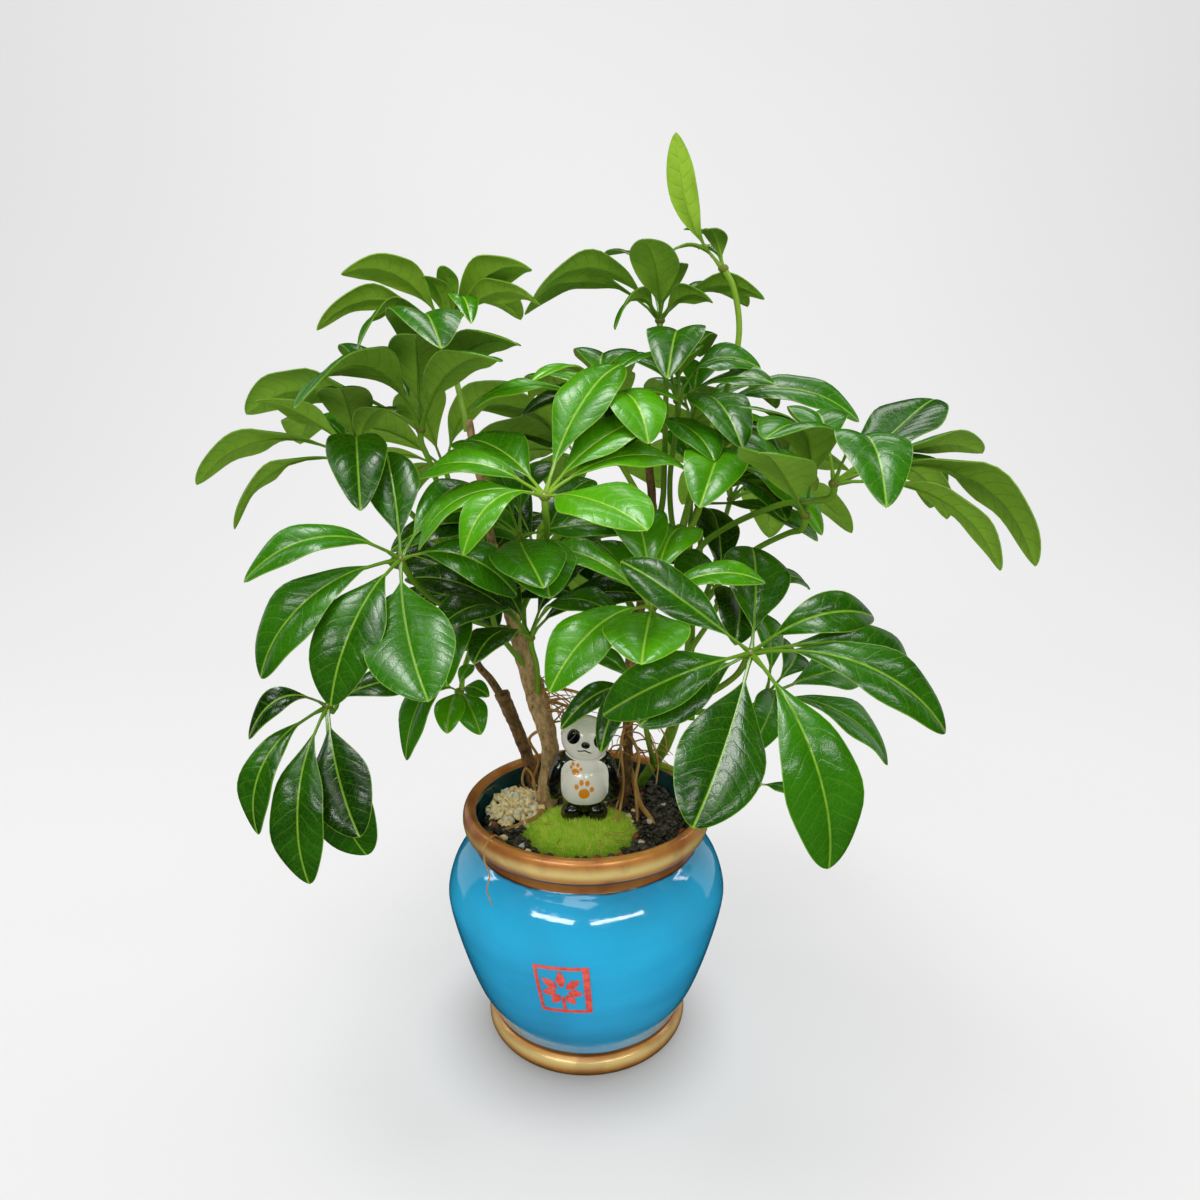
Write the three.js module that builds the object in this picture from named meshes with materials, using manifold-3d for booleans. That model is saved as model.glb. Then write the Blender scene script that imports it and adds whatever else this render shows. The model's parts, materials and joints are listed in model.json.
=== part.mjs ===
// A potted umbrella plant (Schefflera): palmate leaves on long stalks, grown from four woody
// stems in a glazed pot that is filled with soil, dressed with black gravel, pale pebbles and a
// moss mound, and kept company by a small ceramic panda.
//
// Millimetres, +Z up. The origin is the middle of the flat base that the pot stands on, and the
// side seen in the photograph faces -Y.
import * as THREE from 'three';
import { mergeVertices } from 'three/addons/utils/BufferGeometryUtils.js';
import Module from 'manifold-3d';

const wasm = await Module();
wasm.setup();

// ---------------------------------------------------------------- driving dimensions
const GAP = 0.3; // clearance between pieces that touch
const FINEST = 0.004; // points closer than this become one in a finished solid

// the pot
const BELLY_RADIUS = 79.4;
const BELLY_HEIGHT = 91;
const FOOT_BEAD = 6.5; // radius of the rounded foot ring
const FOOT_RADIUS = 58.5;
const NECK_RADIUS = 62.5;
const NECK_HEIGHT = 121;
const RIM_RADIUS = 70;
const RIM_BAND = 8; // width of the rolled rim, seen from above
const RIM_HEIGHT = 141;
const RIM_ROLL = 15; // height of the rolled rim
const WALL = 6;
const FLOOR = 11;
const POT_SIDES = 28;

// what lies in the pot
const SOIL_LEVEL = 126;
const GRAVEL_DEPTH = 2.6;
const MOSS = { x: -3, y: -16, across: 32, deep: 29, height: 6 };
const PEBBLES = { x: -40, y: 13, across: 16, deep: 20, height: 6, stone: 3.8, count: 12 };
const PANDA = { x: -1, y: -4, base: 131 };

// the leaves
const STALK = 0.15; // share of a leaflet that is its own little stalk
const BLADE = 1.2; // thickness of a leaflet along its midrib
const FOLD = 10; // degrees by which both halves of a blade rise from the midrib
const PETIOLE = 1.6; // radius of a leaf stalk
const HUB = 2.8; // radius of the knob that the leaflets spread from

// ---------------------------------------------------------------- materials
function finish(color, roughness, metalness = 0) {
  return new THREE.MeshStandardMaterial({ color, roughness, metalness });
}

const GLAZE = finish('#2a93c4', 0.18);
const SOIL = finish('#2a211b', 1);
const GRAVEL = finish('#1d1d1f', 0.75);
const PEBBLE = finish('#c9bda3', 0.9);
const MOSS_GREEN = finish('#7c9a2c', 1);
const PANDA_WHITE = finish('#f1efe8', 0.25);
const BARK = finish('#8d6a45', 0.9);
const DARK_BARK = finish('#5a4632', 0.9);
const GREEN_STEM = finish('#6f9a2a', 0.6);
const OLD_LEAF = finish('#2f6d22', 0.35);
const YOUNG_LEAF = finish('#4fa62a', 0.35);

// ---------------------------------------------------------------- solids
function toSolid(geometry, finest = 1e-4) {
  const bare = geometry.clone();
  bare.deleteAttribute('normal');
  bare.deleteAttribute('uv');
  const welded = mergeVertices(bare, finest);
  const mesh = {
    numProp: 3,
    vertProperties: new Float32Array(welded.attributes.position.array),
    triVerts: new Uint32Array(welded.index.array),
  };
  const solid = new wasm.Manifold(new wasm.Mesh(mesh));
  if (solid.volume() > 0) return solid;
  mesh.triVerts.reverse();
  return new wasm.Manifold(new wasm.Mesh(mesh));
}

function toGeometry(solid) {
  const mesh = solid.getMesh();
  const geometry = new THREE.BufferGeometry();
  geometry.setAttribute('position', new THREE.BufferAttribute(mesh.vertProperties, 3));
  geometry.setIndex(new THREE.BufferAttribute(mesh.triVerts, 1));
  geometry.computeVertexNormals();
  return geometry;
}

function join(solids) {
  return solids.reduce((whole, solid) => whole.add(solid));
}

function carve(solid, cutters) {
  return cutters.reduce((left, cutter) => left.subtract(cutter), solid);
}

// Moves every vertex of a geometry by a function of its position.
function reshape(geometry, move) {
  const position = geometry.attributes.position;
  const point = new THREE.Vector3();
  for (let i = 0; i < position.count; i += 1) {
    point.fromBufferAttribute(position, i);
    move(point, i);
    position.setXYZ(i, point.x, point.y, point.z);
  }
  return geometry;
}

// A ball scaled to three half-sizes, turned about Y (leaning sideways) and moved into place.
function ball(halfSizes, place, lean = 0, around = 10, up = 6) {
  const geometry = new THREE.SphereGeometry(1, around, up);
  geometry.rotateX(Math.PI / 2);
  geometry.scale(...halfSizes);
  geometry.rotateY(lean);
  geometry.translate(...place);
  return toSolid(geometry);
}

function vector(point) {
  return new THREE.Vector3(...point);
}

// A round stem along a smooth path. The radius runs evenly through the listed radii.
function tube(points, radii, sides, steps) {
  const path = new THREE.CatmullRomCurve3(points.map(vector), false, 'centripetal');
  const section = new THREE.Shape();
  const corners = [...Array(sides).keys()].map((k) => (2 * Math.PI * k) / sides);
  section.setFromPoints(corners.map((a) => new THREE.Vector2(Math.cos(a), Math.sin(a))));
  const geometry = new THREE.ExtrudeGeometry(section, { steps, extrudePath: path });
  const rings = path.getSpacedPoints(steps);
  return toSolid(reshape(geometry, (point) => {
    const gaps = rings.map((centre) => centre.distanceTo(point));
    const ring = gaps.indexOf(Math.min(...gaps));
    const along = (ring / steps) * (radii.length - 1);
    const before = Math.min(Math.floor(along), radii.length - 2);
    const radius = THREE.MathUtils.lerp(radii[before], radii[before + 1], along - before);
    point.sub(rings[ring]).multiplyScalar(radius).add(rings[ring]);
  }));
}

// ---------------------------------------------------------------- pot
function arc(x, y, xRadius, yRadius, fromDegrees, toDegrees, pieces) {
  const start = THREE.MathUtils.degToRad(fromDegrees);
  const end = THREE.MathUtils.degToRad(toDegrees);
  return new THREE.EllipseCurve(x, y, xRadius, yRadius, start, end).getPoints(pieces);
}

function smooth(points, pieces) {
  const curve = new THREE.SplineCurve(points.map(([x, y]) => new THREE.Vector2(x, y)));
  return curve.getPoints(pieces);
}

// The inner wall, from the mouth down to the floor. The soil follows it a gap further in.
function innerWall(inset) {
  const points = [
    [RIM_RADIUS - RIM_BAND - 1.5, RIM_HEIGHT - RIM_ROLL + 1],
    [NECK_RADIUS - WALL + 1, NECK_HEIGHT],
    [BELLY_RADIUS - WALL - 5, BELLY_HEIGHT + 13],
    [BELLY_RADIUS - WALL, BELLY_HEIGHT - 4],
    [BELLY_RADIUS - WALL - 6, 60],
    [FOOT_RADIUS, 30],
    [FOOT_RADIUS - 7, FLOOR + 5],
  ];
  return smooth(points, 5).map((p) => new THREE.Vector2(p.x - inset, p.y));
}

function makePot() {
  const belly = [
    [FOOT_RADIUS - 2, 17],
    [65.4, 35],
    [73.5, 60],
    [BELLY_RADIUS - 0.4, 84],
    [BELLY_RADIUS, BELLY_HEIGHT],
    [75.2, 105],
    [68, 115],
    [NECK_RADIUS, NECK_HEIGHT],
  ];
  const footCentre = FOOT_RADIUS - FOOT_BEAD;
  const rimCentre = RIM_RADIUS - RIM_BAND / 2;
  const rimMiddle = RIM_HEIGHT - RIM_ROLL / 2;
  const profile = [
    new THREE.Vector2(0, 0),
    ...arc(footCentre, FOOT_BEAD, FOOT_BEAD, FOOT_BEAD, -90, 60, 3),
    ...smooth(belly, 7),
    ...arc(rimCentre, rimMiddle, RIM_BAND / 2, RIM_ROLL / 2, -115, 185, 6),
    ...innerWall(0),
    new THREE.Vector2(FOOT_RADIUS - 13, FLOOR),
    new THREE.Vector2(0, FLOOR),
  ];
  const geometry = new THREE.LatheGeometry(profile, POT_SIDES);
  geometry.rotateX(Math.PI / 2);
  return toSolid(geometry);
}

// ---------------------------------------------------------------- soil and its dressing
const TOP_INSET = 0.5; // how far the soil and gravel stay from the glazed wall
const WALL_AT_SOIL = 60; // inner radius of the pot at the soil's surface

function makeSoil() {
  const inner = innerWall(TOP_INSET).filter((p) => p.y < SOIL_LEVEL);
  const profile = [
    new THREE.Vector2(0, SOIL_LEVEL),
    new THREE.Vector2(WALL_AT_SOIL - 0.8, SOIL_LEVEL),
    ...inner,
    new THREE.Vector2(FOOT_RADIUS - 13.5, FLOOR + GAP),
    new THREE.Vector2(0, FLOOR + GAP),
  ];
  const geometry = new THREE.LatheGeometry(profile, POT_SIDES);
  geometry.rotateX(Math.PI / 2);
  return toSolid(geometry);
}

// A layer of small dark stones: its surface rises and falls by half a stone.
function makeGravel() {
  const base = SOIL_LEVEL + GAP;
  const edge = WALL_AT_SOIL - 0.8;
  const rings = [edge, 50, 38, 26, 14];
  const profile = [
    new THREE.Vector2(0, base),
    new THREE.Vector2(edge, base),
    ...rings.map((radius) => new THREE.Vector2(radius, base + GRAVEL_DEPTH)),
    new THREE.Vector2(0, base + GRAVEL_DEPTH),
  ];
  const geometry = new THREE.LatheGeometry(profile, POT_SIDES);
  geometry.rotateX(Math.PI / 2);
  return toSolid(reshape(geometry, (point) => {
    const inside = Math.hypot(point.x, point.y) < edge - 1;
    if (point.z < base + 1 || !inside) return;
    point.z += 0.9 * Math.sin(point.x * 1.3 + 1) * Math.cos(point.y * 1.7);
  }));
}

// A low dome with a flat underside.
function dome(shape, around, extra) {
  const quarter = arc(0, 0, 1, 1, 0, 90, 4);
  quarter[quarter.length - 1].x = 0;
  const geometry = new THREE.LatheGeometry([new THREE.Vector2(0, 0), ...quarter], around);
  geometry.rotateX(Math.PI / 2);
  geometry.scale(shape.across + extra, shape.deep + extra, shape.height + extra);
  geometry.translate(shape.x, shape.y, SOIL_LEVEL + GAP);
  return geometry;
}

function makeMoss(extra = 0) {
  return toSolid(reshape(dome(MOSS, 22, extra), (point) => {
    const height = point.z - SOIL_LEVEL - GAP;
    if (height < 1) return;
    point.z += 0.5 * Math.sin(point.x * 0.5) * Math.cos(point.y * 0.6);
  }));
}

// A heap of pale stones: stones set over a dome by the golden angle, and fused to it.
function makePebbles(extra = 0) {
  const heap = [toSolid(dome(PEBBLES, 12, extra))];
  for (let k = 0; k < PEBBLES.count; k += 1) {
    const out = Math.sqrt((k + 0.5) / PEBBLES.count) * 0.86;
    const turn = k * 2.39996;
    const size = PEBBLES.stone * (0.85 + 0.25 * Math.sin(k * 1.9)) + extra;
    const stone = new THREE.IcosahedronGeometry(1, 0);
    stone.scale(size, size * 0.8, size * 0.7);
    stone.rotateX(k * 1.1);
    stone.rotateZ(k * 0.7);
    const lift = PEBBLES.height * Math.sqrt(1 - out * out);
    const x = PEBBLES.x + PEBBLES.across * out * Math.cos(turn);
    const y = PEBBLES.y + PEBBLES.deep * out * Math.sin(turn);
    stone.translate(x, y, SOIL_LEVEL + GAP + lift);
    heap.push(toSolid(stone));
  }
  const room = new THREE.CylinderGeometry(WALL_AT_SOIL - 1, WALL_AT_SOIL - 1, 30, POT_SIDES);
  room.rotateX(Math.PI / 2);
  room.translate(0, 0, SOIL_LEVEL + GAP - extra + 15);
  return join(heap).intersect(toSolid(room));
}

// ---------------------------------------------------------------- panda figurine
// One slip-cast ceramic piece in life, solid here: feet, barrel belly, hanging arms, round
// head and two ears.
function makePanda(extra = 0) {
  const { x, y, base } = PANDA;
  const at = (dx, dy, dz) => [x + dx, y + dy, base + dz];
  const half = (...sizes) => sizes.map((size) => size + extra);
  const parts = [
    ball(half(14.5, 12, 16), at(0, 0, 20)),
    ball(half(14.2, 12.2, 13), at(0, -0.5, 47)),
  ];
  for (const side of [-1, 1]) {
    parts.push(ball(half(6.8, 8.5, 5.4), at(side * 6.6, -2.5, 4), 0, 8, 6));
    parts.push(ball(half(4.4, 5.6, 13), at(side * 15, -1, 23), side * -0.16, 8, 6));
    parts.push(ball(half(4.4, 3, 4.4), at(side * 10.5, 1.5, 57.5), 0, 8, 5));
  }
  const above = new THREE.BoxGeometry(80, 80, 80);
  above.translate(x, y, base - extra + 40);
  return join(parts).intersect(toSolid(above));
}

// ---------------------------------------------------------------- stems
// Each stem: the path of its axis from the soil up, radii along it, and twigs or roots that
// grow from it, each as [path, radii].
const ROOT = [1, 0.8];

const STEMS = {
  stem_left: {
    path: [[-31, 38, 108], [-33, 40, 130], [-38, 41, 152], [-44, 40, 170], [-51, 38, 190]],
    radii: [4.2, 4, 3.8, 3.9, 4.4],
    sides: 7,
    steps: 6,
    grows: [
      [[[-49, 38, 184], [-57, 36, 199], [-63, 30, 210], [-66, 22, 228]], [2.6, 2.4, 2.1, 1.8]],
    ],
    material: BARK,
  },
  trunk_main: {
    path: [
      [-25, 15, 106], [-24, 15, 126], [-22, 14, 148], [-21, 13, 166], [-25, 11, 187],
      [-30, 10, 206], [-35, 8, 225], [-42, 5, 253], [-50, 5, 287], [-54, 8, 316],
      [-59, 12, 336], [-61, 15, 352],
    ],
    radii: [7.5, 6.6, 5.2, 5, 6.4, 5.2, 4, 3.2, 2.8, 2.4, 2.2, 2],
    sides: 7,
    steps: 15,
    grows: [
      [[[-26, 12, 196], [-12, 17, 190], [2, 21, 180], [15, 19, 170]], ROOT],
      [[[-28, 8, 203], [-10, 0, 206], [8, 6, 196], [17, 10, 182]], ROOT],
      [[[-24, 14, 178], [-34, 26, 165], [-29, 31, 150], [-33, 33, 134], [-31, 30, 124]], ROOT],
    ],
    material: BARK,
  },
  trunk_right: {
    path: [
      [20, 15, 108], [21, 15, 128], [24, 14, 151], [24, 14, 170], [24, 14, 188], [26, 14, 225],
      [32, 12, 260], [36, 8, 300], [34, 5, 325], [32, 3, 342],
    ],
    radii: [4, 3.2, 2.8, 3.2, 3.2, 2.9, 2.6, 2.4, 2.2, 2],
    sides: 6,
    steps: 12,
    grows: [
      [[[22, 15, 160], [27, 16, 146], [31, 8, 133], [37, -6, 130], [40, -12, 124]], [2, 1.4]],
      [[[24, 14, 184], [20, 6, 172], [21, -2, 150], [18, -14, 132], [17, -18, 122]], ROOT],
      [[[24, 14, 176], [30, 6, 164], [28, 0, 150], [29, -4, 134], [29, -6, 122]], ROOT],
    ],
    material: DARK_BARK,
  },
  stem_green: {
    path: [
      [33, 38, 108], [33, 38, 130], [39, 34, 143], [47, 28, 161], [53, 20, 186], [58, 10, 232],
      [54, 5, 264], [51, 5, 298],
    ],
    radii: [3, 3, 3.6, 3, 3, 2.8, 2.6, 2.4],
    sides: 6,
    steps: 10,
    grows: [],
    material: GREEN_STEM,
  },
};

// The point that lies `extra` past the end of a straight run.
function beyond(from, to, extra) {
  const run = vector(to).sub(vector(from)).setLength(extra || 1e-6);
  return run.add(vector(to)).toArray();
}

function makeStem(stem, extra = 0) {
  const wider = (radii) => radii.map((radius) => radius + extra);
  const longer = (path) => [
    beyond(path[1], path[0], extra), ...path.slice(1, -1), beyond(path.at(-2), path.at(-1), extra),
  ];
  const trunk = tube(longer(stem.path), wider(stem.radii), stem.sides, stem.steps);
  const twigs = stem.grows.map(([path, radii]) => (
    tube(longer(path), wider(radii), 5, path.length + 2)
  ));
  return join([trunk, ...twigs]);
}

// ---------------------------------------------------------------- leaves
// A leaf is palmate: leaflets spread from a hub at the end of a long stalk. Its axis leans from
// upright by `lean` degrees towards the compass angle `faces` (-90 is the front, 0 the right).
// A leaflet is [around, splay, length, arch, width, roll]: `around` is its angle about the
// axis, counted from the downhill side, and `splay` its angle away from the axis, in degrees;
// `arch` is the rise of its midrib, and `width` the width of its blade, as shares of the
// length; `roll` turns the blade about the midrib. The stalk runs from the hub through `stalk`
// to the stem that carries the leaf.
const LEAVES = [
  {
    name: 'leaf_front_right', hub: [72, -105, 262], faces: -82, lean: 50, young: false,
    stalk: [[71, -72, 240], [63, -25, 212], [54, 20, 188]],
    leaflets: [
      [230, 85, 68, 0.1, 0.32], [165, 108, 70, 0.05, 0.46], [100, 75, 54, 0.35, 0.36],
      [60, 82, 84, 0.25, 0.28], [82, 88, 72, 0.3, 0.28], [14, 98, 92, 0.25, 0.36],
      [333, 82, 82, 0, 0.44], [287, 100, 68, 0.28, 0.36], [300, 82, 60, 0, 0.36],
    ],
  },
  {
    name: 'leaf_front_left', hub: [-81, -75, 296], faces: -98, lean: 42, young: false,
    stalk: [[-76, -45, 272], [-58, -15, 250], [-38, 7, 238]],
    leaflets: [
      [295, 72, 66, 0.3, 0.28], [318, 95, 78, 0.25, 0.36], [347, 94, 72, 0.2, 0.44],
      [23, 80, 82, 0, 0.46], [82, 104, 54, 0.28, 0.42], [162, 100, 60, 0.15, 0.34],
      [197, 78, 58, 0.05, 0.44],
    ],
  },
  {
    name: 'leaf_low_left', hub: [-124, -60, 220], faces: -105, lean: 48, young: false,
    stalk: [[-116, -40, 236], [-95, -18, 236], [-66, 21, 224]],
    leaflets: [
      [312, 68, 38, 0.5, 0.36], [343, 95, 66, 0.3, 0.3], [6, 97, 82, 0.22, 0.34],
      [31, 90, 68, 0.05, 0.44], [20, 108, 75, 0.22, 0.42], [124, 110, 44, 0.25, 0.42],
    ],
  },
  {
    name: 'leaf_centre', hub: [-16, -80, 325], faces: -90, lean: 22, young: true,
    stalk: [[-16, -66, 310], [-20, -40, 288], [-32, -15, 268], [-43, 5, 258]],
    leaflets: [
      [252, 90, 60, 0.2, 0.44], [220, 85, 68, 0.1, 0.48], [150, 60, 76, 0.12, 0.36],
      [128, 72, 65, 0.1, 0.42], [113, 90, 70, 0.15, 0.34], [39, 75, 68, 0.08, 0.52],
      [314, 100, 46, 0.28, 0.42], [281, 108, 60, 0.22, 0.34],
    ],
  },
  {
    name: 'leaf_middle_front', hub: [31, -85, 277], faces: -95, lean: 25, young: true,
    stalk: [[31, -65, 260], [29, -30, 240], [26, 14, 222]],
    leaflets: [
      [320, 94, 63, 0.2, 0.44], [352, 76, 58, 0.05, 0.62], [210, 90, 58, 0, 0.4],
      [240, 84, 64, 0.15, 0.3], [192, 84, 66, 0.2, 0.42], [166, 86, 62, 0.2, 0.44],
      [95, 75, 50, 0.2, 0.36],
    ],
  },
  {
    name: 'leaf_far_left', hub: [-115, -5, 332], faces: -90, lean: 0, young: false,
    stalk: [[-95, -5, 310], [-79, -2, 292], [-62, 2, 275], [-45, 5, 262]],
    leaflets: [
      [281, 95, 80, 0.2, 0.32, -30], [304, 112, 70, 0.2, 0.32, -30], [306, 55, 58, 0.08, 0.44, -15],
      [4, 44, 54, 0.2, 0.5], [44, 52, 46, 0.2, 0.44], [14, 100, 70, 0.3, 0.4],
      [220, 85, 76, 0.22, 0.44],
    ],
  },
  {
    name: 'leaf_high_left', hub: [-83, -5, 348], faces: 90, lean: 5, young: false,
    stalk: [[-80, -5, 334], [-73, 0, 311], [-60, 4, 288], [-48, 5, 274]],
    leaflets: [
      [80, 83, 96, 0.15, 0.34, -30], [148, 82, 78, 0.3, 0.5, -20], [41, 60, 84, 0.2, 0.44],
      [190, 46, 62, 0.2, 0.44], [198, 70, 86, 0.4, 0.4], [226, 63, 85, 0.18, 0.3, 15],
      [216, 69, 86, 0.12, 0.3, 10],
    ],
  },
  {
    name: 'leaf_top_left', hub: [-72, 25, 394], faces: 90, lean: 10, young: true,
    stalk: [[-69, 22, 376], [-62, 16, 346]],
    leaflets: [
      [141, 72, 68, 0.2, 0.34, -25], [110, 85, 66, 0.25, 0.3, -25], [140, 102, 58, 0.28, 0.34, -20],
      [161, 48, 36, 0.2, 0.34], [185, 46, 40, 0.2, 0.28], [222, 72, 74, 0.15, 0.3, 20],
      [231, 82, 66, 0.18, 0.28, 25], [204, 90, 44, 0.35, 0.32], [330, 70, 70, 0.2, 0.34],
    ],
  },
  {
    name: 'leaf_top_middle', hub: [39, 20, 402], faces: 90, lean: 8, young: false,
    stalk: [[42, 20, 382], [42, 12, 328], [41, 8, 308], [37, 8, 292]],
    leaflets: [
      [98, 87, 70, 0.25, 0.26, -20], [123, 86, 75, 0.25, 0.28, -30], [144, 102, 42, 0.3, 0.42, -35],
      [168, 60, 58, 0.05, 0.42], [43, 44, 58, 0.22, 0.3], [201, 50, 36, 0.2, 0.4],
      [241, 80, 54, 0.2, 0.3, 25], [222, 82, 36, 0.2, 0.42, 30], [310, 75, 70, 0.2, 0.34],
    ],
  },
  {
    name: 'leaf_far_right', hub: [114, -60, 328], faces: -60, lean: 5, young: false,
    stalk: [[93, -45, 316], [64, -15, 294], [53, 5, 272]],
    leaflets: [
      [101, 64, 84, 0.02, 0.44], [76, 78, 78, 0.1, 0.36, 30], [38, 104, 92, 0.25, 0.34, 35],
      [32, 108, 80, 0.18, 0.34, 35], [333, 84, 66, 0.35, 0.46], [96, 86, 80, 0.24, 0.4],
      [76, 96, 66, 0.24, 0.34, 20], [150, 75, 70, 0.24, 0.42],
    ],
  },
  {
    name: 'leaf_right_second', hub: [105, -46, 311], faces: -60, lean: 5, young: false,
    stalk: [[100, -33, 300], [86, -18, 288], [72, -3, 268], [57, 9, 240]],
    leaflets: [
      [298, 58, 76, 0.05, 0.46], [297, 52, 72, 0.3, 0.46], [258, 40, 64, 0.24, 0.3],
      [212, 62, 66, 0.2, 0.4],
    ],
  },
  {
    name: 'leaf_under_centre', hub: [-31, -40, 300], faces: -90, lean: 25, young: false,
    stalk: [[-42, -20, 289], [-49, 5, 280]],
    leaflets: [
      [32, 77, 66, 0.08, 0.5], [89, 82, 56, 0.05, 0.44], [10, 72, 76, 0.05, 0.44],
      [293, 66, 48, 0.2, 0.44], [209, 88, 52, 0.2, 0.44], [174, 90, 62, 0.2, 0.44],
      [293, 76, 62, 0.2, 0.38],
    ],
  },
  {
    name: 'leaf_crown_left', hub: [8, -25, 361], faces: -90, lean: 8, young: true,
    stalk: [[14, -16, 340], [26, -4, 318], [36, 8, 300]],
    leaflets: [
      [275, 90, 62, 0.15, 0.5], [224, 92, 52, 0.25, 0.36], [304, 66, 40, 0.28, 0.44],
      [22, 83, 56, 0.22, 0.5], [174, 92, 74, 0.28, 0.46], [105, 94, 46, 0.15, 0.46],
    ],
  },
  {
    name: 'leaf_crown_middle', hub: [48, 5, 362], faces: -90, lean: 0, young: false,
    stalk: [[47, 7, 344], [45, 10, 320], [47, 10, 296], [53, 5, 276]],
    leaflets: [
      [81, 70, 44, 0.28, 0.44, -40], [67, 78, 50, 0.12, 0.34, -30], [356, 63, 48, 0.28, 0.5],
      [348, 80, 66, 0.4, 0.42], [316, 67, 50, 0.28, 0.4], [165, 70, 72, 0.28, 0.44],
      [215, 62, 50, 0.28, 0.44],
    ],
  },
  {
    name: 'leaf_crown_right', hub: [56, 18, 350], faces: -90, lean: 10, young: false,
    stalk: [[57, 19, 334], [57, 19, 312], [57, 14, 286], [54, 6, 266]],
    leaflets: [
      [75, 84, 86, 0.18, 0.28, -25], [47, 88, 52, 0.12, 0.36], [12, 83, 78, 0.22, 0.36],
      [130, 90, 70, 0.22, 0.36], [195, 90, 68, 0.22, 0.36], [171, 84, 84, 0.22, 0.36],
    ],
  },
  {
    name: 'leaf_right_inner', hub: [66, -8, 332], faces: -60, lean: 15, young: true,
    stalk: [[62, -7, 317], [58, -2, 302], [52, 5, 288]],
    leaflets: [
      [27, 100, 66, 0.12, 0.42], [110, 94, 74, 0.2, 0.3], [132, 92, 72, 0.2, 0.4],
      [319, 86, 74, 0.2, 0.4], [80, 98, 66, 0.2, 0.4],
    ],
  },
  {
    name: 'leaf_right_lower', hub: [62, 20, 306], faces: -40, lean: 20, young: false,
    stalk: [[63, 20, 290], [62, 17, 268], [56, 8, 246]],
    leaflets: [
      [327, 68, 70, 0.2, 0.4], [10, 80, 68, 0.1, 0.4], [118, 82, 68, 0.2, 0.4],
      [70, 80, 72, 0.2, 0.4], [160, 70, 60, 0.2, 0.4],
    ],
  },
  {
    name: 'leaf_inner_high', hub: [28, -4, 352], faces: -60, lean: 20, young: false,
    stalk: [[31, 2, 338]],
    leaflets: [
      [359, 80, 66, 0.1, 0.4], [290, 80, 60, 0.2, 0.42], [250, 80, 60, 0.2, 0.42],
      [320, 76, 62, 0.2, 0.42],
    ],
  },
  {
    name: 'leaf_inner_left', hub: [-28, -25, 244], faces: -100, lean: 20, young: false,
    stalk: [[-26, -14, 226], [-27, 8, 200]],
    leaflets: [
      [330, 55, 70, 0.2, 0.4], [225, 66, 54, 0.2, 0.4], [150, 62, 66, 0.2, 0.4],
      [351, 62, 66, 0.12, 0.3], [62, 58, 70, 0.2, 0.3], [270, 60, 70, 0.2, 0.4],
      [100, 70, 66, 0.2, 0.4],
    ],
  },
  {
    name: 'leaf_inner_right', hub: [70, -15, 261], faces: -50, lean: 25, young: false,
    stalk: [[66, -5, 246], [58, 10, 226]],
    leaflets: [
      [285, 60, 70, 0.2, 0.4], [77, 82, 58, 0.22, 0.3], [128, 90, 64, 0.2, 0.4],
      [240, 70, 66, 0.2, 0.4], [317, 72, 66, 0.2, 0.4], [160, 76, 62, 0.2, 0.4],
    ],
  },
  {
    name: 'leaf_low_right', hub: [92, -40, 218], faces: -30, lean: 40, young: false,
    stalk: [[83, -15, 200], [65, 10, 189], [53, 20, 184]],
    leaflets: [
      [18, 78, 70, 0.15, 0.44], [72, 80, 70, 0.2, 0.38], [98, 94, 64, 0.2, 0.34],
      [135, 88, 66, 0.2, 0.4], [283, 84, 62, 0.2, 0.3],
    ],
  },
  {
    name: 'leaf_left_inner', hub: [-52, -22, 263], faces: -130, lean: 50, young: false,
    stalk: [[-47, -14, 246], [-38, -4, 228], [-33, 9, 216]],
    leaflets: [
      [46, 64, 70, 0.12, 0.42], [347, 102, 92, 0.08, 0.26],
    ],
  },
  {
    name: 'leaf_small_front', hub: [27, -70, 232], faces: -110, lean: 40, young: false,
    stalk: [[30, -45, 211], [35, -2, 176], [40.5, 33, 147]],
    leaflets: [
      [320, 70, 44, 0.25, 0.3], [349, 68, 44, 0.25, 0.3], [58, 64, 42, 0.25, 0.34],
      [170, 78, 34, 0.25, 0.34], [243, 80, 32, 0.25, 0.34],
    ],
  },
  {
    name: 'leaf_left_sprout', hub: [-70, 0, 205], faces: -100, lean: 30, young: true,
    stalk: [[-69, 10, 212], [-66, 24, 222]],
    leaflets: [
      [6, 79, 33, 0.2, 0.5], [35, 80, 34, 0.2, 0.5], [71, 72, 22, 0.2, 0.5],
      [166, 77, 18, 0.2, 0.5], [285, 75, 20, 0.2, 0.5],
    ],
  },
  {
    name: 'leaf_right_sprout', hub: [97, 0, 149], faces: 0, lean: 30, young: true,
    stalk: [[86, 3, 144], [66, 10, 147], [50, 24, 147], [40, 33, 146]],
    leaflets: [
      [330, 70, 24, 0.1, 0.8], [120, 60, 18, 0.2, 0.5],
    ],
  },
  {
    name: 'leaf_whip', hub: [69, 5, 426], faces: -90, lean: 0, young: true,
    stalk: [
      [74, 5, 418], [78, 5, 398], [76, 5, 380], [70, 4, 360], [62, 2, 340], [57, 6, 318],
      [51, 5, 292],
    ],
    leaflets: [
      [287, 22, 65, -0.14, 0.22, -60], [290, 60, 30, 0.2, 0.4], [330, 50, 26, 0.2, 0.5],
      [250, 45, 28, 0.2, 0.4], [210, 60, 24, 0.2, 0.4],
    ],
  },
  {
    name: 'leaf_back_left', hub: [-85, 75, 318], faces: 125, lean: 35, young: false,
    stalk: [[-78, 55, 298], [-66, 28, 288], [-52, 6, 292]],
    leaflets: spread(7, 78, 76),
  },
  {
    name: 'leaf_back_middle', hub: [-5, 95, 320], faces: 95, lean: 35, young: false,
    stalk: [[-4, 72, 302], [10, 40, 276], [28, 14, 244]],
    leaflets: spread(7, 76, 80),
  },
  {
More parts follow.
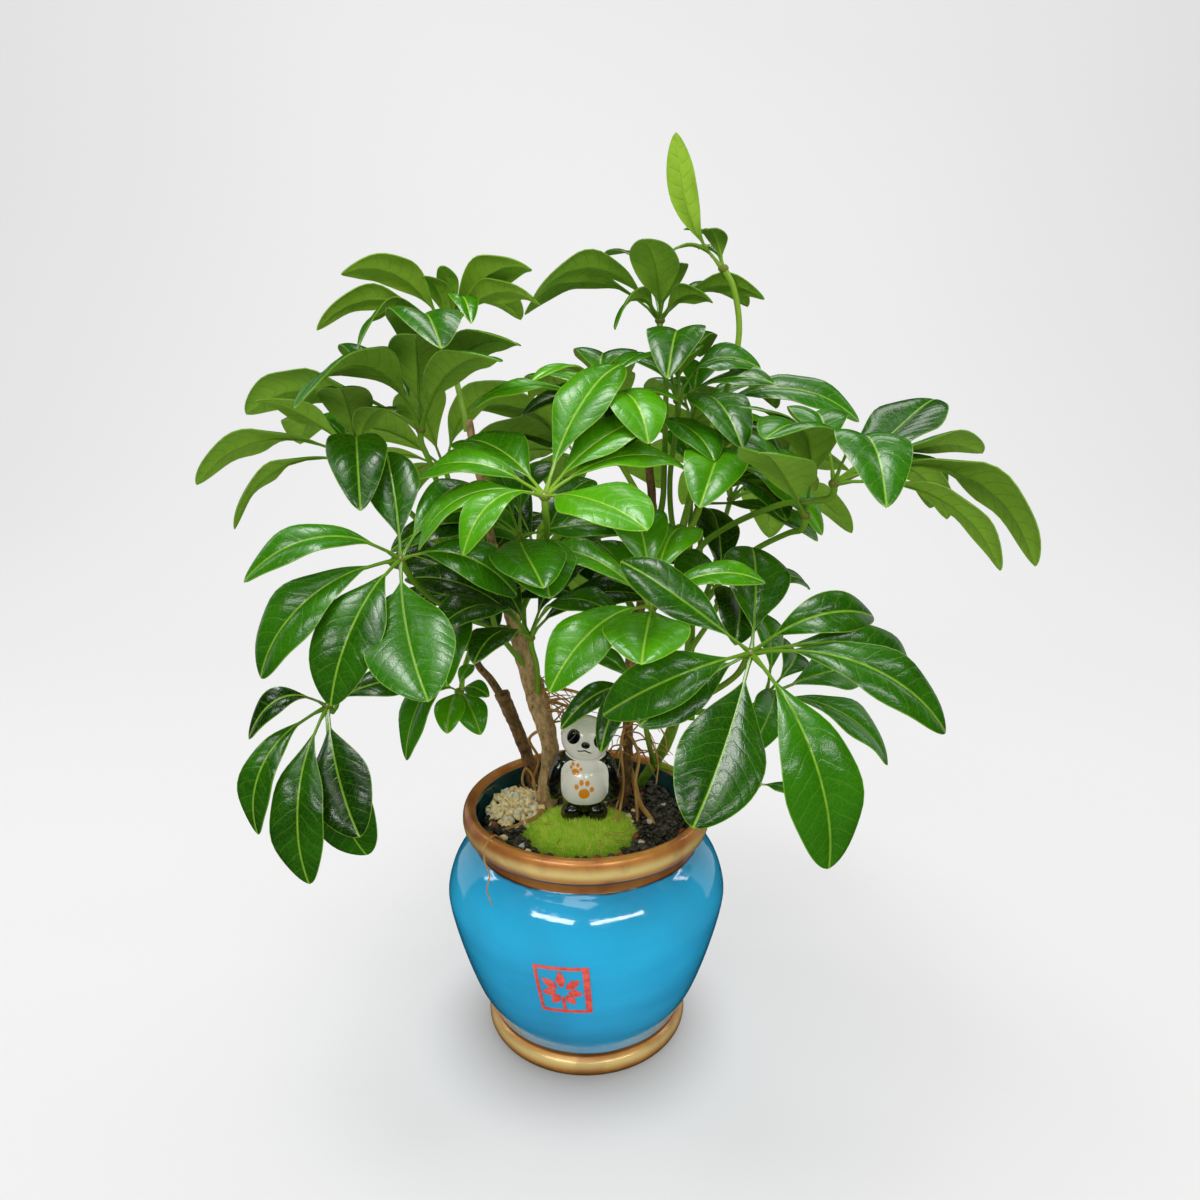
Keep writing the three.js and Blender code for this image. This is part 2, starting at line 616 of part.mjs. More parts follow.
    name: 'leaf_back_right', hub: [88, 80, 300], faces: 55, lean: 35, young: false,
    stalk: [[80, 60, 280], [70, 32, 256], [57, 10, 236]],
    leaflets: spread(7, 76, 78),
  },
  {
    name: 'leaf_back_low', hub: [-40, 110, 246], faces: 110, lean: 50, young: false,
    stalk: [[-40, 82, 236], [-36, 40, 218], [-32, 10, 212]],
    leaflets: spread(7, 80, 78),
  },
  {
    name: 'leaf_inner_middle', hub: [-26, 25, 272], faces: -90, lean: 30, young: false,
    stalk: [[-31, 18, 257], [-39, 6, 240]],
    leaflets: spread(7, 74, 66),
  },
  {
    name: 'leaf_inner_far_left', hub: [-62, 30, 250], faces: -110, lean: 35, young: false,
    stalk: [[-53, 20, 240], [-36, 8, 229]],
    leaflets: spread(7, 76, 62),
  },
];

// A full, even round of leaflets, each a little unlike the next.
function spread(count, splay, length) {
  return [...Array(count).keys()].map((k) => {
    const wave = Math.sin(2.4 * k + splay);
    return [(360 * k) / count + 8 * wave, splay + 6 * wave, length + 6 * wave, 0.2, 0.42];
  });
}

// The leaf's axis and the two directions that span its plane: downhill, and to its side.
function leafFrame(leaf) {
  const compass = THREE.MathUtils.degToRad(leaf.faces);
  const lean = THREE.MathUtils.degToRad(leaf.lean);
  const level = new THREE.Vector3(Math.cos(compass), Math.sin(compass), 0);
  const up = new THREE.Vector3(0, 0, 1);
  const axis = level.clone().multiplyScalar(Math.sin(lean)).addScaledVector(up, Math.cos(lean));
  const down = level.clone().multiplyScalar(Math.cos(lean)).addScaledVector(up, -Math.sin(lean));
  return { axis, down, side: up.clone().cross(level) };
}

// Half the width of a blade at share u of it, as a share of its widest: a wedge at the base,
// widest past the middle, and closing in a blunt tip.
function bladeWidth(u) {
  const along = Math.min(1, Math.max(0, u));
  return Math.sin(Math.PI * along ** 1.3) ** (0.95 - 0.24 * along);
}

// Where the rings of a leaflet lie along it: two in the knob, one at the end of its stalk, and
// the blade's own, of which a short leaflet has one fewer.
const ROOTED = [-0.02, 0];
const LONG_BLADE = [STALK, 0.42, 0.76, 1];
const SHORT_BLADE = [STALK, 0.58, 1];
const SHORT = 52;

// A leaflet is a four-sided spindle whose rings are moved to stations along its midrib. The
// four corners of a ring are its left edge, the top of the midrib, its right edge, and the
// rib below.
function makeLeaflet(leaf, leaflet, bend, stations) {
  const [around, splay, fullLength, arch, width, roll = 0] = leaflet;
  const { axis, down, side } = leafFrame(leaf);
  const turn = THREE.MathUtils.degToRad(around + bend.around);
  const open = THREE.MathUtils.degToRad(splay + bend.splay);
  const length = fullLength * bend.trim;
  const outward = down.clone().multiplyScalar(Math.cos(turn)).addScaledVector(side, Math.sin(turn));
  const chord = axis.clone().multiplyScalar(Math.cos(open)).addScaledVector(outward, Math.sin(open));
  const rise = axis.clone().addScaledVector(chord, -axis.dot(chord)).normalize();
  const across = rise.clone().cross(chord);
  const hub = vector(leaf.hub);
  const geometry = new THREE.SphereGeometry(1, 4, stations.length - 1);
  return toSolid(reshape(geometry, (point, i) => {
    const t = stations[Math.floor(i / 5)];
    const corner = i % 5 % 4;
    const u = (t - STALK) / (1 - STALK);
    const tangent = chord.clone().addScaledVector(rise, 4 * arch * (1 - 2 * t)).normalize();
    const twist = THREE.MathUtils.degToRad(roll) * Math.min(1, Math.max(0, 2 * u));
    const edge = across.clone().applyAxisAngle(tangent, -twist);
    const face = tangent.clone().cross(edge);
    const half = Math.max(bladeWidth(u) * length * width / 2, t > 0 ? 0.8 : 0.5);
    const fold = THREE.MathUtils.degToRad(FOLD);
    point.copy(hub).addScaledVector(chord, length * t);
    point.addScaledVector(rise, length * arch * 4 * t * (1 - t));
    if (i < 5 || t === 1) return;
    if (corner === 0) point.addScaledVector(edge, -half * Math.cos(fold));
    if (corner === 2) point.addScaledVector(edge, half * Math.cos(fold));
    if (corner % 2 === 0) point.addScaledVector(face, half * Math.sin(fold));
    if (corner === 1) point.addScaledVector(face, BLADE * 0.3);
    if (corner === 3) point.addScaledVector(face, -BLADE * 0.7);
  }));
}

// The long stalk with the knob at its end.
function makeHandle(leaf) {
  const { axis } = leafFrame(leaf);
  const hub = vector(leaf.hub);
  const neck = hub.clone().addScaledVector(axis, -9).toArray();
  const path = [...leaf.stalk].reverse();
  const radii = [PETIOLE * 1.1, PETIOLE, PETIOLE * 0.9];
  const stalk = tube([...path, neck, leaf.hub], radii, 5, path.length + 1);
  return stalk.add(ball([HUB, HUB, HUB], leaf.hub, 0, 5, 3));
}

// ---------------------------------------------------------------- growing clear of each other
const obstacles = [];

function occupy(owner, solid, blade = null) {
  obstacles.push({ owner, solid, blade, box: solid.boundingBox() });
}

function boxesMeet(a, b) {
  return [0, 1, 2].every((k) => a.min[k] < b.max[k] + GAP && b.min[k] < a.max[k] + GAP);
}

// Leaflets of one leaf meet at their hub, so between them only the blades stay clear.
function isClear(owner, solid, blade) {
  const box = solid.boundingBox();
  return obstacles.filter((other) => boxesMeet(other.box, box)).every((other) => {
    if (other.owner !== owner) return solid.minGap(other.solid, 2 * GAP) > GAP;
    return !other.blade || blade.minGap(other.blade, 2 * GAP) > GAP;
  });
}

// The ways a leaflet may bend, the smallest first: rings of eight directions, 4 degrees apart,
// and then the same again on a shorter leaflet.
const BENDS = [1, 0.85, 0.7, 0.55].flatMap((trim) => [0, 4, 8, 12, 16, 20].flatMap((size) => {
  const ways = size === 0 ? [0] : [0, 1, 2, 3, 4, 5, 6, 7];
  return ways.map((way) => ({
    trim,
    splay: size * Math.cos((way * Math.PI) / 4),
    around: size * Math.sin((way * Math.PI) / 4),
  }));
}));

function growLeaflet(leaf, leaflet) {
  for (const bend of BENDS) {
    const stations = leaflet[2] < SHORT ? SHORT_BLADE : LONG_BLADE;
    const solid = makeLeaflet(leaf, leaflet, bend, [...ROOTED, ...stations]);
    const blade = makeLeaflet(leaf, leaflet, bend, [STALK - 0.02, ...stations.slice(1)]);
    if (isClear(leaf.name, solid, blade)) return { solid, blade };
  }
  return null;
}

// ---------------------------------------------------------------- the whole plant
const plant = new THREE.Group();

function addPart(name, solid, material) {
  const mesh = new THREE.Mesh(toGeometry(toSolid(toGeometry(solid), FINEST)), material);
  mesh.name = name;
  plant.add(mesh);
}

const stems = Object.entries(STEMS).map(([name, stem]) => ({
  name,
  solid: makeStem(stem),
  room: makeStem(stem, GAP),
  material: stem.material,
}));
const stemRooms = stems.map((stem) => stem.room);

addPart('pot', makePot(), GLAZE);
addPart('soil', carve(makeSoil(), stemRooms), SOIL);
const mossRoom = makeMoss(2 * GAP);
const pebbleRoom = makePebbles(GAP);
const pandaRoom = makePanda(GAP);
const dressing = [...stemRooms, pandaRoom];
addPart('gravel_black', carve(makeGravel(), [...dressing, mossRoom, pebbleRoom]), GRAVEL);
addPart('pebbles', carve(makePebbles(), [...dressing, mossRoom]), PEBBLE);
addPart('moss_mound', carve(makeMoss(), dressing), MOSS_GREEN);
addPart('panda_figurine', makePanda(), PANDA_WHITE);
stems.forEach((stem) => addPart(stem.name, stem.solid, stem.material));

occupy('pot', makePot());
occupy('panda_figurine', makePanda());
occupy('moss_mound', makeMoss());
stems.forEach((stem) => occupy(stem.name, stem.solid));
const handles = LEAVES.map(makeHandle);
LEAVES.forEach((leaf, i) => occupy(leaf.name, handles[i]));

LEAVES.forEach((leaf, i) => {
  const leaflets = leaf.leaflets.map((leaflet) => {
    const grown = growLeaflet(leaf, leaflet);
    if (grown) occupy(leaf.name, grown.solid, grown.blade);
    return grown && grown.solid;
  });
  const whole = join([handles[i], ...leaflets.filter(Boolean)]);
  addPart(leaf.name, carve(whole, stemRooms), leaf.young ? YOUNG_LEAF : OLD_LEAF);
});

export default plant;
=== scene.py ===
# %% [markdown]
# # A potted umbrella plant
# The part is a Schefflera grown like a small tree: palmate leaves on long stalks, woody stems
# with hanging roots, a blue glazed pot, black gravel, pale pebbles, a moss mound and a little
# ceramic panda. The solid model already holds every place and size. This notebook gives each
# piece its fine shape and its finish, and changes none of the places.

# %% Load the solid model
import json
import math
import random

import bpy
import numpy as np
from mathutils import Matrix, Vector


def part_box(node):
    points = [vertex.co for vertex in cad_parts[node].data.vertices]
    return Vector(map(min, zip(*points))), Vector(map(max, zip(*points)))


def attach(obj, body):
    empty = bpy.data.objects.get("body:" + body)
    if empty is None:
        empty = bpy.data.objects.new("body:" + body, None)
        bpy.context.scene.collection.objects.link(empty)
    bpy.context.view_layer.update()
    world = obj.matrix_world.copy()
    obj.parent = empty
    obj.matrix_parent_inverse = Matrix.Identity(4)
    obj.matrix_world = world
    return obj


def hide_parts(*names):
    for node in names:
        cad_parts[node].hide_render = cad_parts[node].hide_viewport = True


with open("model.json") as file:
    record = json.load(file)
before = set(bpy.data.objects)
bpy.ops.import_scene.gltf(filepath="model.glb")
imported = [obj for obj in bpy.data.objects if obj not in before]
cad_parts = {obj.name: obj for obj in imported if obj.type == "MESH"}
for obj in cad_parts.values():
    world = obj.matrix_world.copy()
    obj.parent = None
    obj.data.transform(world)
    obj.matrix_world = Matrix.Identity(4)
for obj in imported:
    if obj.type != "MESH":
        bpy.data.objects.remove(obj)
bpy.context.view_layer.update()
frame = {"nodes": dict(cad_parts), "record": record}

MM = 0.001

# %% [markdown]
# ## The camera and the studio
# A plant like this is photographed on a seamless pale sweep: the paper lies under the pot and
# curves up behind it, so no line shows where floor becomes wall. It could be a big plane and a
# grey world, but a real sweep also catches the soft shadow that seats the pot. A plane is added,
# its back edge is pulled up as the wall, and the fold between them is bevelled round.


# %% The camera
CAMERA_PLACE = Vector((7.9, -468, 381.5)) * MM
CAMERA_PITCH = math.radians(90 - 14.85)

bpy.ops.object.camera_add(location=CAMERA_PLACE, rotation=(CAMERA_PITCH, 0, 0))
camera = bpy.context.object
camera.data.lens = 27
camera.data.sensor_width = 36
bpy.context.scene.camera = camera
bpy.context.scene.view_settings.view_transform = "Standard"
print("camera at", [round(part / MM) for part in camera.location], "mm")


# %% Small helpers for modelling
def deselect():
    bpy.ops.object.select_all(action="DESELECT")


def activate(piece):
    deselect()
    piece.select_set(True)
    bpy.context.view_layer.objects.active = piece


def edit(piece, mode="VERT"):
    activate(piece)
    bpy.ops.object.mode_set(mode="EDIT")
    bpy.ops.mesh.select_mode(type=mode)


def leave():
    bpy.ops.object.mode_set(mode="OBJECT")


def settle(piece):
    """Moves the object's place, turn and size into its mesh."""
    activate(piece)
    bpy.ops.object.transform_apply(location=True, rotation=True, scale=True)


def modify(piece, kind, **settings):
    """Adds a modifier, sets it and applies it."""
    activate(piece)
    modifier = piece.modifiers.new(kind.lower(), kind)
    for name, value in settings.items():
        setattr(modifier, name, value)
    bpy.ops.object.modifier_apply(modifier=modifier.name)


def join(pieces, name):
    deselect()
    for piece in pieces:
        piece.select_set(True)
    bpy.context.view_layer.objects.active = pieces[0]
    bpy.ops.object.join()
    pieces[0].name = name
    return pieces[0]


def close_up(piece):
    """Merges doubled points and turns all faces outwards."""
    edit(piece)
    bpy.ops.mesh.select_all(action="SELECT")
    bpy.ops.mesh.remove_doubles(threshold=0.00001)
    bpy.ops.mesh.normals_make_consistent(inside=False)
    leave()


def smooth(piece, degrees=40):
    activate(piece)
    bpy.ops.object.shade_smooth_by_angle(angle=math.radians(degrees))


def mark(piece, name, value):
    """Stores a number at every point, one for them all or one for each, for a finish to read."""
    values = np.broadcast_to(value, len(piece.data.vertices)).astype(np.float32)
    attributes = piece.data.attributes
    layer = attributes.get(name) or attributes.new(name, "FLOAT", "POINT")
    layer.data.foreach_set("value", values)
    return piece


# %% The sweep
SWEEP_WIDTH = 6.0
SWEEP_FRONT = -1.6
SWEEP_BACK = 1.5
SWEEP_HEIGHT = 2.6
SWEEP_BEND = 0.9
NEAR = 0.01

bpy.ops.mesh.primitive_plane_add(size=1)
sweep = bpy.context.object
sweep.name = "sweep"
sweep.scale = (SWEEP_WIDTH, SWEEP_BACK - SWEEP_FRONT, 1)
sweep.location = (0, (SWEEP_BACK + SWEEP_FRONT) / 2, 0)
settle(sweep)
edit(sweep, "EDGE")
bpy.ops.mesh.select_all(action="DESELECT")
leave()
for edge in sweep.data.edges:
    ends = [sweep.data.vertices[v].co.y for v in edge.vertices]
    edge.select = min(ends) > SWEEP_BACK - NEAR
edit(sweep, "EDGE")
bpy.ops.mesh.extrude_region_move(TRANSFORM_OT_translate={"value": (0, 0, SWEEP_HEIGHT)})
leave()
for edge in sweep.data.edges:
    ends = [sweep.data.vertices[v].co for v in edge.vertices]
    edge.select = all(end.y > SWEEP_BACK - NEAR and end.z < NEAR for end in ends)
edit(sweep, "EDGE")
bpy.ops.mesh.bevel(offset=SWEEP_BEND, segments=24, affect="EDGES")
leave()
smooth(sweep)
print("sweep faces:", len(sweep.data.polygons))

# %% [markdown]
# The light is a soft box overhead, two long thin ones in front, narrow ones at the sides, one
# behind, one for the wall of paper, and a bright room all round. The two in front show as two
# streaks side by side on the glaze, and all of them as a pale sheen on the leaves. Room and
# paper are kept out of the reflections, because they would lay a grey haze over glaze and leaves
# that the real ones don't show. Two dim panels behind the pot take their place where the glaze
# turns away, so that its edges stay light, and a wide one overhead gives the leaves their broad
# sheen. The panels light nothing that is matt, so they don't wash the shadows out.


# %% The lights
def soft_box(name, place, aim, size, power):
    bpy.ops.object.light_add(type="AREA", location=place)
    box = bpy.context.object
    box.name = name
    box.data.shape = "RECTANGLE"
    box.data.size, box.data.size_y = size
    box.data.energy = power
    box.rotation_euler = (Vector(aim) - Vector(place)).to_track_quat("-Z", "Y").to_euler()
    return box


CROWN = (0, 0, 0.26)
POT_MIDDLE = (0, 0, 0.08)
soft_box("box_top", (-0.25, -0.2, 1.8), CROWN, (0.7, 0.5), 12)
soft_box("box_front_left", (-0.62, -1.15, 0.95), CROWN, (0.86, 0.16), 5)
soft_box("box_front_right", (0.6, -1.15, 0.95), CROWN, (1.1, 0.12), 5)
soft_box("box_right", (1.3, 0.3, 1.15), CROWN, (0.1, 0.9), 1.6)
soft_box("box_left", (-1.3, 0.3, 1.15), CROWN, (0.1, 0.9), 1.6)
soft_box("box_back", (0.2, 0.95, 1.45), CROWN, (1.0, 0.4), 4)
soft_box("box_wall", (0, 0.25, 1.75), (0, 1.5, 0.9), (2.4, 0.5), 7)
panels = [
    soft_box("panel_left", (-1.05, 0.75, 0.35), POT_MIDDLE, (0.9, 1.1), 1.3),
    soft_box("panel_right", (1.05, 0.75, 0.35), POT_MIDDLE, (0.9, 1.1), 1.3),
    soft_box("panel_above", (-0.3, -0.45, 1.5), CROWN, (1.3, 0.8), 7),
]
for panel in panels:
    panel.visible_diffuse = False

world = bpy.data.worlds.new("studio")
bpy.context.scene.world = world
world.use_nodes = True
world.node_tree.nodes["Background"].inputs["Color"].default_value = (1, 0.99, 0.98, 1)
world.node_tree.nodes["Background"].inputs["Strength"].default_value = 0.44
world.cycles_visibility.glossy = False
sweep.visible_glossy = False

# %% [markdown]
# ## How the finishes are written
# A finish in Blender is a graph of nodes. Wiring one by hand hides its sums, so a small class
# wraps an output socket and takes part in Python expressions: adding or multiplying two wires
# adds a Math node. Any other node comes from one method that takes its type, its settings and
# its sockets. Colours are mixed by a Mix node, because a Math node would turn them grey.


# %% The wire class
class Wire:
    """One output socket of a material, used in sums."""

    def __init__(self, tree, socket=None):
        self.tree = tree
        self.socket = socket

    def node(self, kind, settings=None, sockets=None, out=0):
        made = self.tree.nodes.new(kind)
        for name, value in (settings or {}).items():
            setattr(made, name, value)
        for key, value in (sockets or {}).items():
            if isinstance(value, Wire):
                self.tree.links.new(value.socket, made.inputs[key])
            else:
                made.inputs[key].default_value = value
        return Wire(self.tree, made.outputs[out])

    def maths(self, operation, *others, first=None):
        """A Math node that takes this wire and the others, or puts one value before them."""
        values = [self, *others] if first is None else [first, self]
        return self.node("ShaderNodeMath", {"operation": operation}, dict(enumerate(values)))

    def __add__(self, other):
        return self.maths("ADD", other)

    def __sub__(self, other):
        return self.maths("SUBTRACT", other)

    def __rsub__(self, other):
        return self.maths("SUBTRACT", first=other)

    def __mul__(self, other):
        return self.maths("MULTIPLY", other)

    def __truediv__(self, other):
        return self.maths("DIVIDE", other)

    def __pow__(self, other):
        return self.maths("POWER", other)

    def __abs__(self):
        return self.maths("ABSOLUTE")

    __radd__ = __add__
    __rmul__ = __mul__

    def above(self, edge, soft):
        """0 below the edge and 1 above it, with a soft step between them."""
        sockets = {"Value": self, "From Min": edge - soft, "From Max": edge + soft}
        return self.node("ShaderNodeMapRange", {"interpolation_type": "SMOOTHSTEP"}, sockets)

    def below(self, edge, soft):
        return 1 - self.above(edge, soft)

    def mix(self, low, high):
        """The colour that lies this far from low to high."""
        settings = {"data_type": "RGBA"}
        return self.node("ShaderNodeMix", settings, {0: self, 6: low, 7: high}, out=2)


def any_of(masks):
    """The highest of several masks."""
    total = masks[0]
    for mask in masks[1:]:
        total = total.maths("MAXIMUM", mask)
    return total


def srgb(red, green, blue):
    """A colour as a screen gives it, from 0 to 255, as the light that a shader wants."""
    def light(part):
        share = part / 255
        return share / 12.92 if share <= 0.04045 else ((share + 0.055) / 1.055) ** 2.4
    return (light(red), light(green), light(blue), 1)


# %% A start for every finish
class Finish:
    """A material with one Principled shader, and the wires that most finishes begin with."""

    def __init__(self, name, **sockets):
        self.material = bpy.data.materials.new(name)
        self.material.use_nodes = True
        tree = self.material.node_tree
        self.shader = tree.nodes["Principled BSDF"]
        self.base = Wire(tree)
        for key, value in sockets.items():
            self.shader.inputs[key.replace("_", " ")].default_value = value

    def place(self):
        """Object coordinates: metres from the object's origin."""
        return self.base.node("ShaderNodeTexCoord", out=3)

    def axes(self):
        """The three Object coordinates in millimetres, each as a wire."""
        parts = self.base.node("ShaderNodeSeparateXYZ", sockets={0: self.place()}).socket.node
        return [Wire(parts.id_data, parts.outputs[k]) / MM for k in range(3)]

    def attribute(self, name):
        return self.base.node("ShaderNodeAttribute", {"attribute_name": name}, out=2)

    def noise(self, size_mm, detail=3, roughness=0.5, stretch=(1, 1, 1)):
        """A cloudy pattern whose features are about that size."""
        sockets = {"Vector": self.place(), "Scale": stretch}
        scaled = self.base.node("ShaderNodeMapping", sockets=sockets)
        sockets = {"Vector": scaled, "Scale": 1 / (size_mm * MM), "Detail": detail,
                   "Roughness": roughness}
        return self.base.node("ShaderNodeTexNoise", sockets=sockets)

    def net(self, size_mm):
        """How far a point is from the border of its cell, in cells of about that size."""
        sockets = {"Vector": self.place(), "Scale": 1 / (size_mm * MM)}
        return self.base.node("ShaderNodeTexVoronoi", {"feature": "DISTANCE_TO_EDGE"}, sockets)

    def feed(self, **wires):
        for key, wire in wires.items():
            self.base.tree.links.new(wire.socket, self.shader.inputs[key.replace("_", " ")])

    def bump(self, height, depth_mm):
        """Lets a height pattern, from 0 to 1, stand out by that depth."""
        sockets = {"Height": height, "Distance": depth_mm * MM, "Strength": 1.0}
        self.feed(Normal=self.base.node("ShaderNodeBump", sockets=sockets))


def dress(piece, finish, slot, *nodes):
    """Gives a piece its finish and its body, and hides the solids it stands for. The slot is not
    used.
    """
    piece.data.materials.clear()
    piece.data.materials.append(finish.material)
    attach(piece, "root")
    if nodes:
        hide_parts(*nodes)


# %% The sweep's finish
# The paper glows a little of itself, so its shadows stay pale; round the foot a painted shadow dims
# it.
paper = Finish("paper", Roughness=0.95, Specular_IOR_Level=0.1, Emission_Strength=0.48)
FOOT_SHADOW = {"x": -4, "y": -8, "radius": 66, "soft": 34}
paper_tone = paper.noise(900, detail=1)
paper_x, paper_y, _ = paper.axes()
from_foot = ((paper_x - FOOT_SHADOW["x"]) ** 2 + (paper_y - FOOT_SHADOW["y"]) ** 2) ** 0.5
# Painted shadow: the paper's glow is darkened within about 66 mm of the foot, a little to the
# front.
painted_foot_shadow = from_foot.below(FOOT_SHADOW["radius"], FOOT_SHADOW["soft"])
paper.feed(
    Base_Color=paper_tone.mix(srgb(152, 152, 152), srgb(160, 160, 160)),
    Emission_Color=(painted_foot_shadow * 0.75).mix(srgb(254, 254, 254), srgb(60, 60, 62)),
)
sweep.data.materials.append(paper.material)
print("finish:", paper.material.name)

# %% [markdown]
# ## The pot
# A studio potter throws such a pot in one piece: a disc of clay is opened and its wall pulled up
# ring by ring. The same moves make it here. A disc is added at the size of the foot, and each
# next ring of the profile is an extrude upwards and a resize, first up the outside, over the
# rolled rim, and then down the inner wall to the floor. A spin or a screw would do as well, but
# this way both ends close by themselves. The curves run through the same few points as the
# solid's, only with many more rings.


# %% Curves through points
CENTRIPETAL = 0.5
SPAN_STEPS = 24


def between(t, t_low, t_high, low, high):
    """The point at t on the line that is at low when t is t_low, and at high when it is t_high."""
    return (t_high - t) / (t_high - t_low) * low + (t - t_low) / (t_high - t_low) * high


def flow(points, steps):
    """A smooth curve through points, evenly walked: centripetal Catmull-Rom."""
    points = [np.array(point, float) for point in points]
    points = [2 * points[0] - points[1], *points, 2 * points[-1] - points[-2]]
    walked = []
    for p0, p1, p2, p3 in zip(points, points[1:], points[2:], points[3:]):
        spans = [np.linalg.norm(b - a) ** CENTRIPETAL for a, b in ((p0, p1), (p1, p2), (p2, p3))]
        t0, t1, t2, t3 = 0, spans[0], spans[0] + spans[1], sum(spans)
        for t in np.linspace(t1, t2, SPAN_STEPS, endpoint=False):
            a1 = between(t, t0, t1, p0, p1)
            a2 = between(t, t1, t2, p1, p2)
            a3 = between(t, t2, t3, p2, p3)
            b1 = between(t, t0, t2, a1, a2)
            b2 = between(t, t1, t3, a2, a3)
            walked.append(between(t, t1, t2, b1, b2))
    walked = np.array([*walked, points[-2]])
    lengths = np.linalg.norm(np.diff(walked, axis=0), axis=1)
    gone = np.concatenate([[0], np.cumsum(lengths)])
    even = np.linspace(0, gone[-1], steps + 1)
    return np.stack([np.interp(even, gone, walked[:, k]) for k in range(walked.shape[1])], axis=1)


def arc(x, y, x_radius, y_radius, start, end, steps):
    angles = np.radians(np.linspace(start, end, steps + 1))
    return np.stack([x + x_radius * np.cos(angles), y + y_radius * np.sin(angles)], axis=1)


def turned(name, profile, sides):
    """A round closed body, pulled up from a disc. The profile is a list of [radius, height]."""
    radius, height = profile[0]
    deselect()
    bpy.ops.mesh.primitive_circle_add(
        vertices=sides, radius=radius * MM, fill_type="NGON", location=(0, 0, height * MM)
    )
    piece = bpy.context.object
    piece.name = name
    settle(piece)
    edit(piece, "FACE")
    bpy.ops.mesh.select_all(action="SELECT")
    for new_radius, new_height in profile[1:]:
        lift = (0, 0, (new_height - height) * MM)
        ratio = new_radius / radius
        bpy.ops.mesh.extrude_region_move(TRANSFORM_OT_translate={"value": lift})
        bpy.ops.transform.resize(value=(ratio, ratio, 1), center_override=(0, 0, 0))
        radius, height = new_radius, new_height
    bpy.ops.mesh.select_all(action="SELECT")
    bpy.ops.mesh.normals_make_consistent(inside=False)
    leave()
    return piece


# %% The pot's profile
BELLY_RADIUS = 79.4
BELLY_HEIGHT = 91
FOOT_BEAD = 6.5
FOOT_RADIUS = 58.5
NECK_RADIUS = 62.5
NECK_HEIGHT = 121
RIM_RADIUS = 70
RIM_BAND = 8
RIM_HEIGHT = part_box("pot")[1][2] / MM
RIM_ROLL = 15
WALL = 6
FLOOR = 11
LIP_INSIDE = 62.7
TEAL_TOP = 138

outer_wall = flow([
    [FOOT_RADIUS - 3.2, 12.8], [FOOT_RADIUS - 2.2, 16.5], [60.5, 25], [65.4, 35], [73.5, 60],
    [BELLY_RADIUS - 0.4, 84], [BELLY_RADIUS, BELLY_HEIGHT], [75.2, 105], [68, 115],
    [NECK_RADIUS + 0.4, 119.5], [NECK_RADIUS, NECK_HEIGHT], [NECK_RADIUS + 0.6, 125.2],
], 52)
inner_wall = flow([
    [RIM_RADIUS - RIM_BAND - 1.5, RIM_HEIGHT - RIM_ROLL + 1], [NECK_RADIUS - WALL + 1, NECK_HEIGHT],
    [BELLY_RADIUS - WALL - 5, BELLY_HEIGHT + 13], [BELLY_RADIUS - WALL, BELLY_HEIGHT - 4],
    [BELLY_RADIUS - WALL - 6, 60], [FOOT_RADIUS, 30], [FOOT_RADIUS - 7, FLOOR + 5],
    [FOOT_RADIUS - 13, FLOOR],
], 24)
foot_ring = arc(FOOT_RADIUS - FOOT_BEAD, FOOT_BEAD, FOOT_BEAD, FOOT_BEAD, -90, 62, 14)
rim_roll = arc(
    RIM_RADIUS - RIM_BAND / 2, RIM_HEIGHT - RIM_ROLL / 2, RIM_BAND / 2, RIM_ROLL / 2, -118, 185, 30
)
pot_profile = [*foot_ring, *outer_wall, *rim_roll, *inner_wall]
pot = turned("pot_glazed", pot_profile, 144)
smooth(pot, 50)
x, y, z = (np.array([vertex.co for vertex in pot.data.vertices]) / MM).T
wall_radii = np.interp(z, outer_wall[:, 1], outer_wall[:, 0])
inner_face = np.where(z < RIM_HEIGHT - RIM_ROLL, wall_radii - WALL / 2, LIP_INSIDE)
mark(pot, "within", (np.hypot(x, y) < inner_face) & (z > FLOOR / 2) & (z < TEAL_TOP))
print("pot faces:", len(pot.data.polygons))

# %% [markdown]
# The pot is dipped in a clear turquoise-blue glaze and fired, and its lip and foot are painted
# with bronze afterwards. The glaze is drawn lighter over the belly, as painted light, and duller
# towards the foot, and brush marks of the slip under it run round the wall. The bronze paint is
# worn brown in patches and green at the very foot; painted highlight bands run round the lip and
# the foot bead, and painted shade darkens its neck, its grooves and its left and right sides.
# Each could have a body and a finish of its own, but one finish holds all three, because their
# borders are only lines of height on one body: a mask picks bronze above the neck and below the
# foot line, and dark teal inside, darkened as painted shade, and a slow noise keeps those lines
# hand-made.

# %% The pot's finish
GLAZE_DEPTH = 0.48

# The heights at which the paint changes, and those of the painted highlight
# bands and painted shade lines, in mm.
BRONZE_TOP = 118.6
BRONZE_FOOT = 16.2
HALF_WAY = 60
LIP_HIGHLIGHT = 133.4
LIP_EDGE = 127
FOOT_HIGHLIGHT = 9.4
FOOT_EDGE = 13.2
FOOT_GREEN = 5

glaze = Finish("pot_glaze_and_bronze", Coat_Roughness=0.03, Specular_IOR_Level=0.55)
pot_x, _, pot_z = glaze.axes()
wobble = (glaze.noise(16, detail=2) - 0.5) * 1.6
drift = glaze.noise(70, detail=2)
throwing = glaze.noise(30, detail=3, stretch=(0.35, 0.35, 2.4))
speckle = glaze.noise(1.3, detail=2)

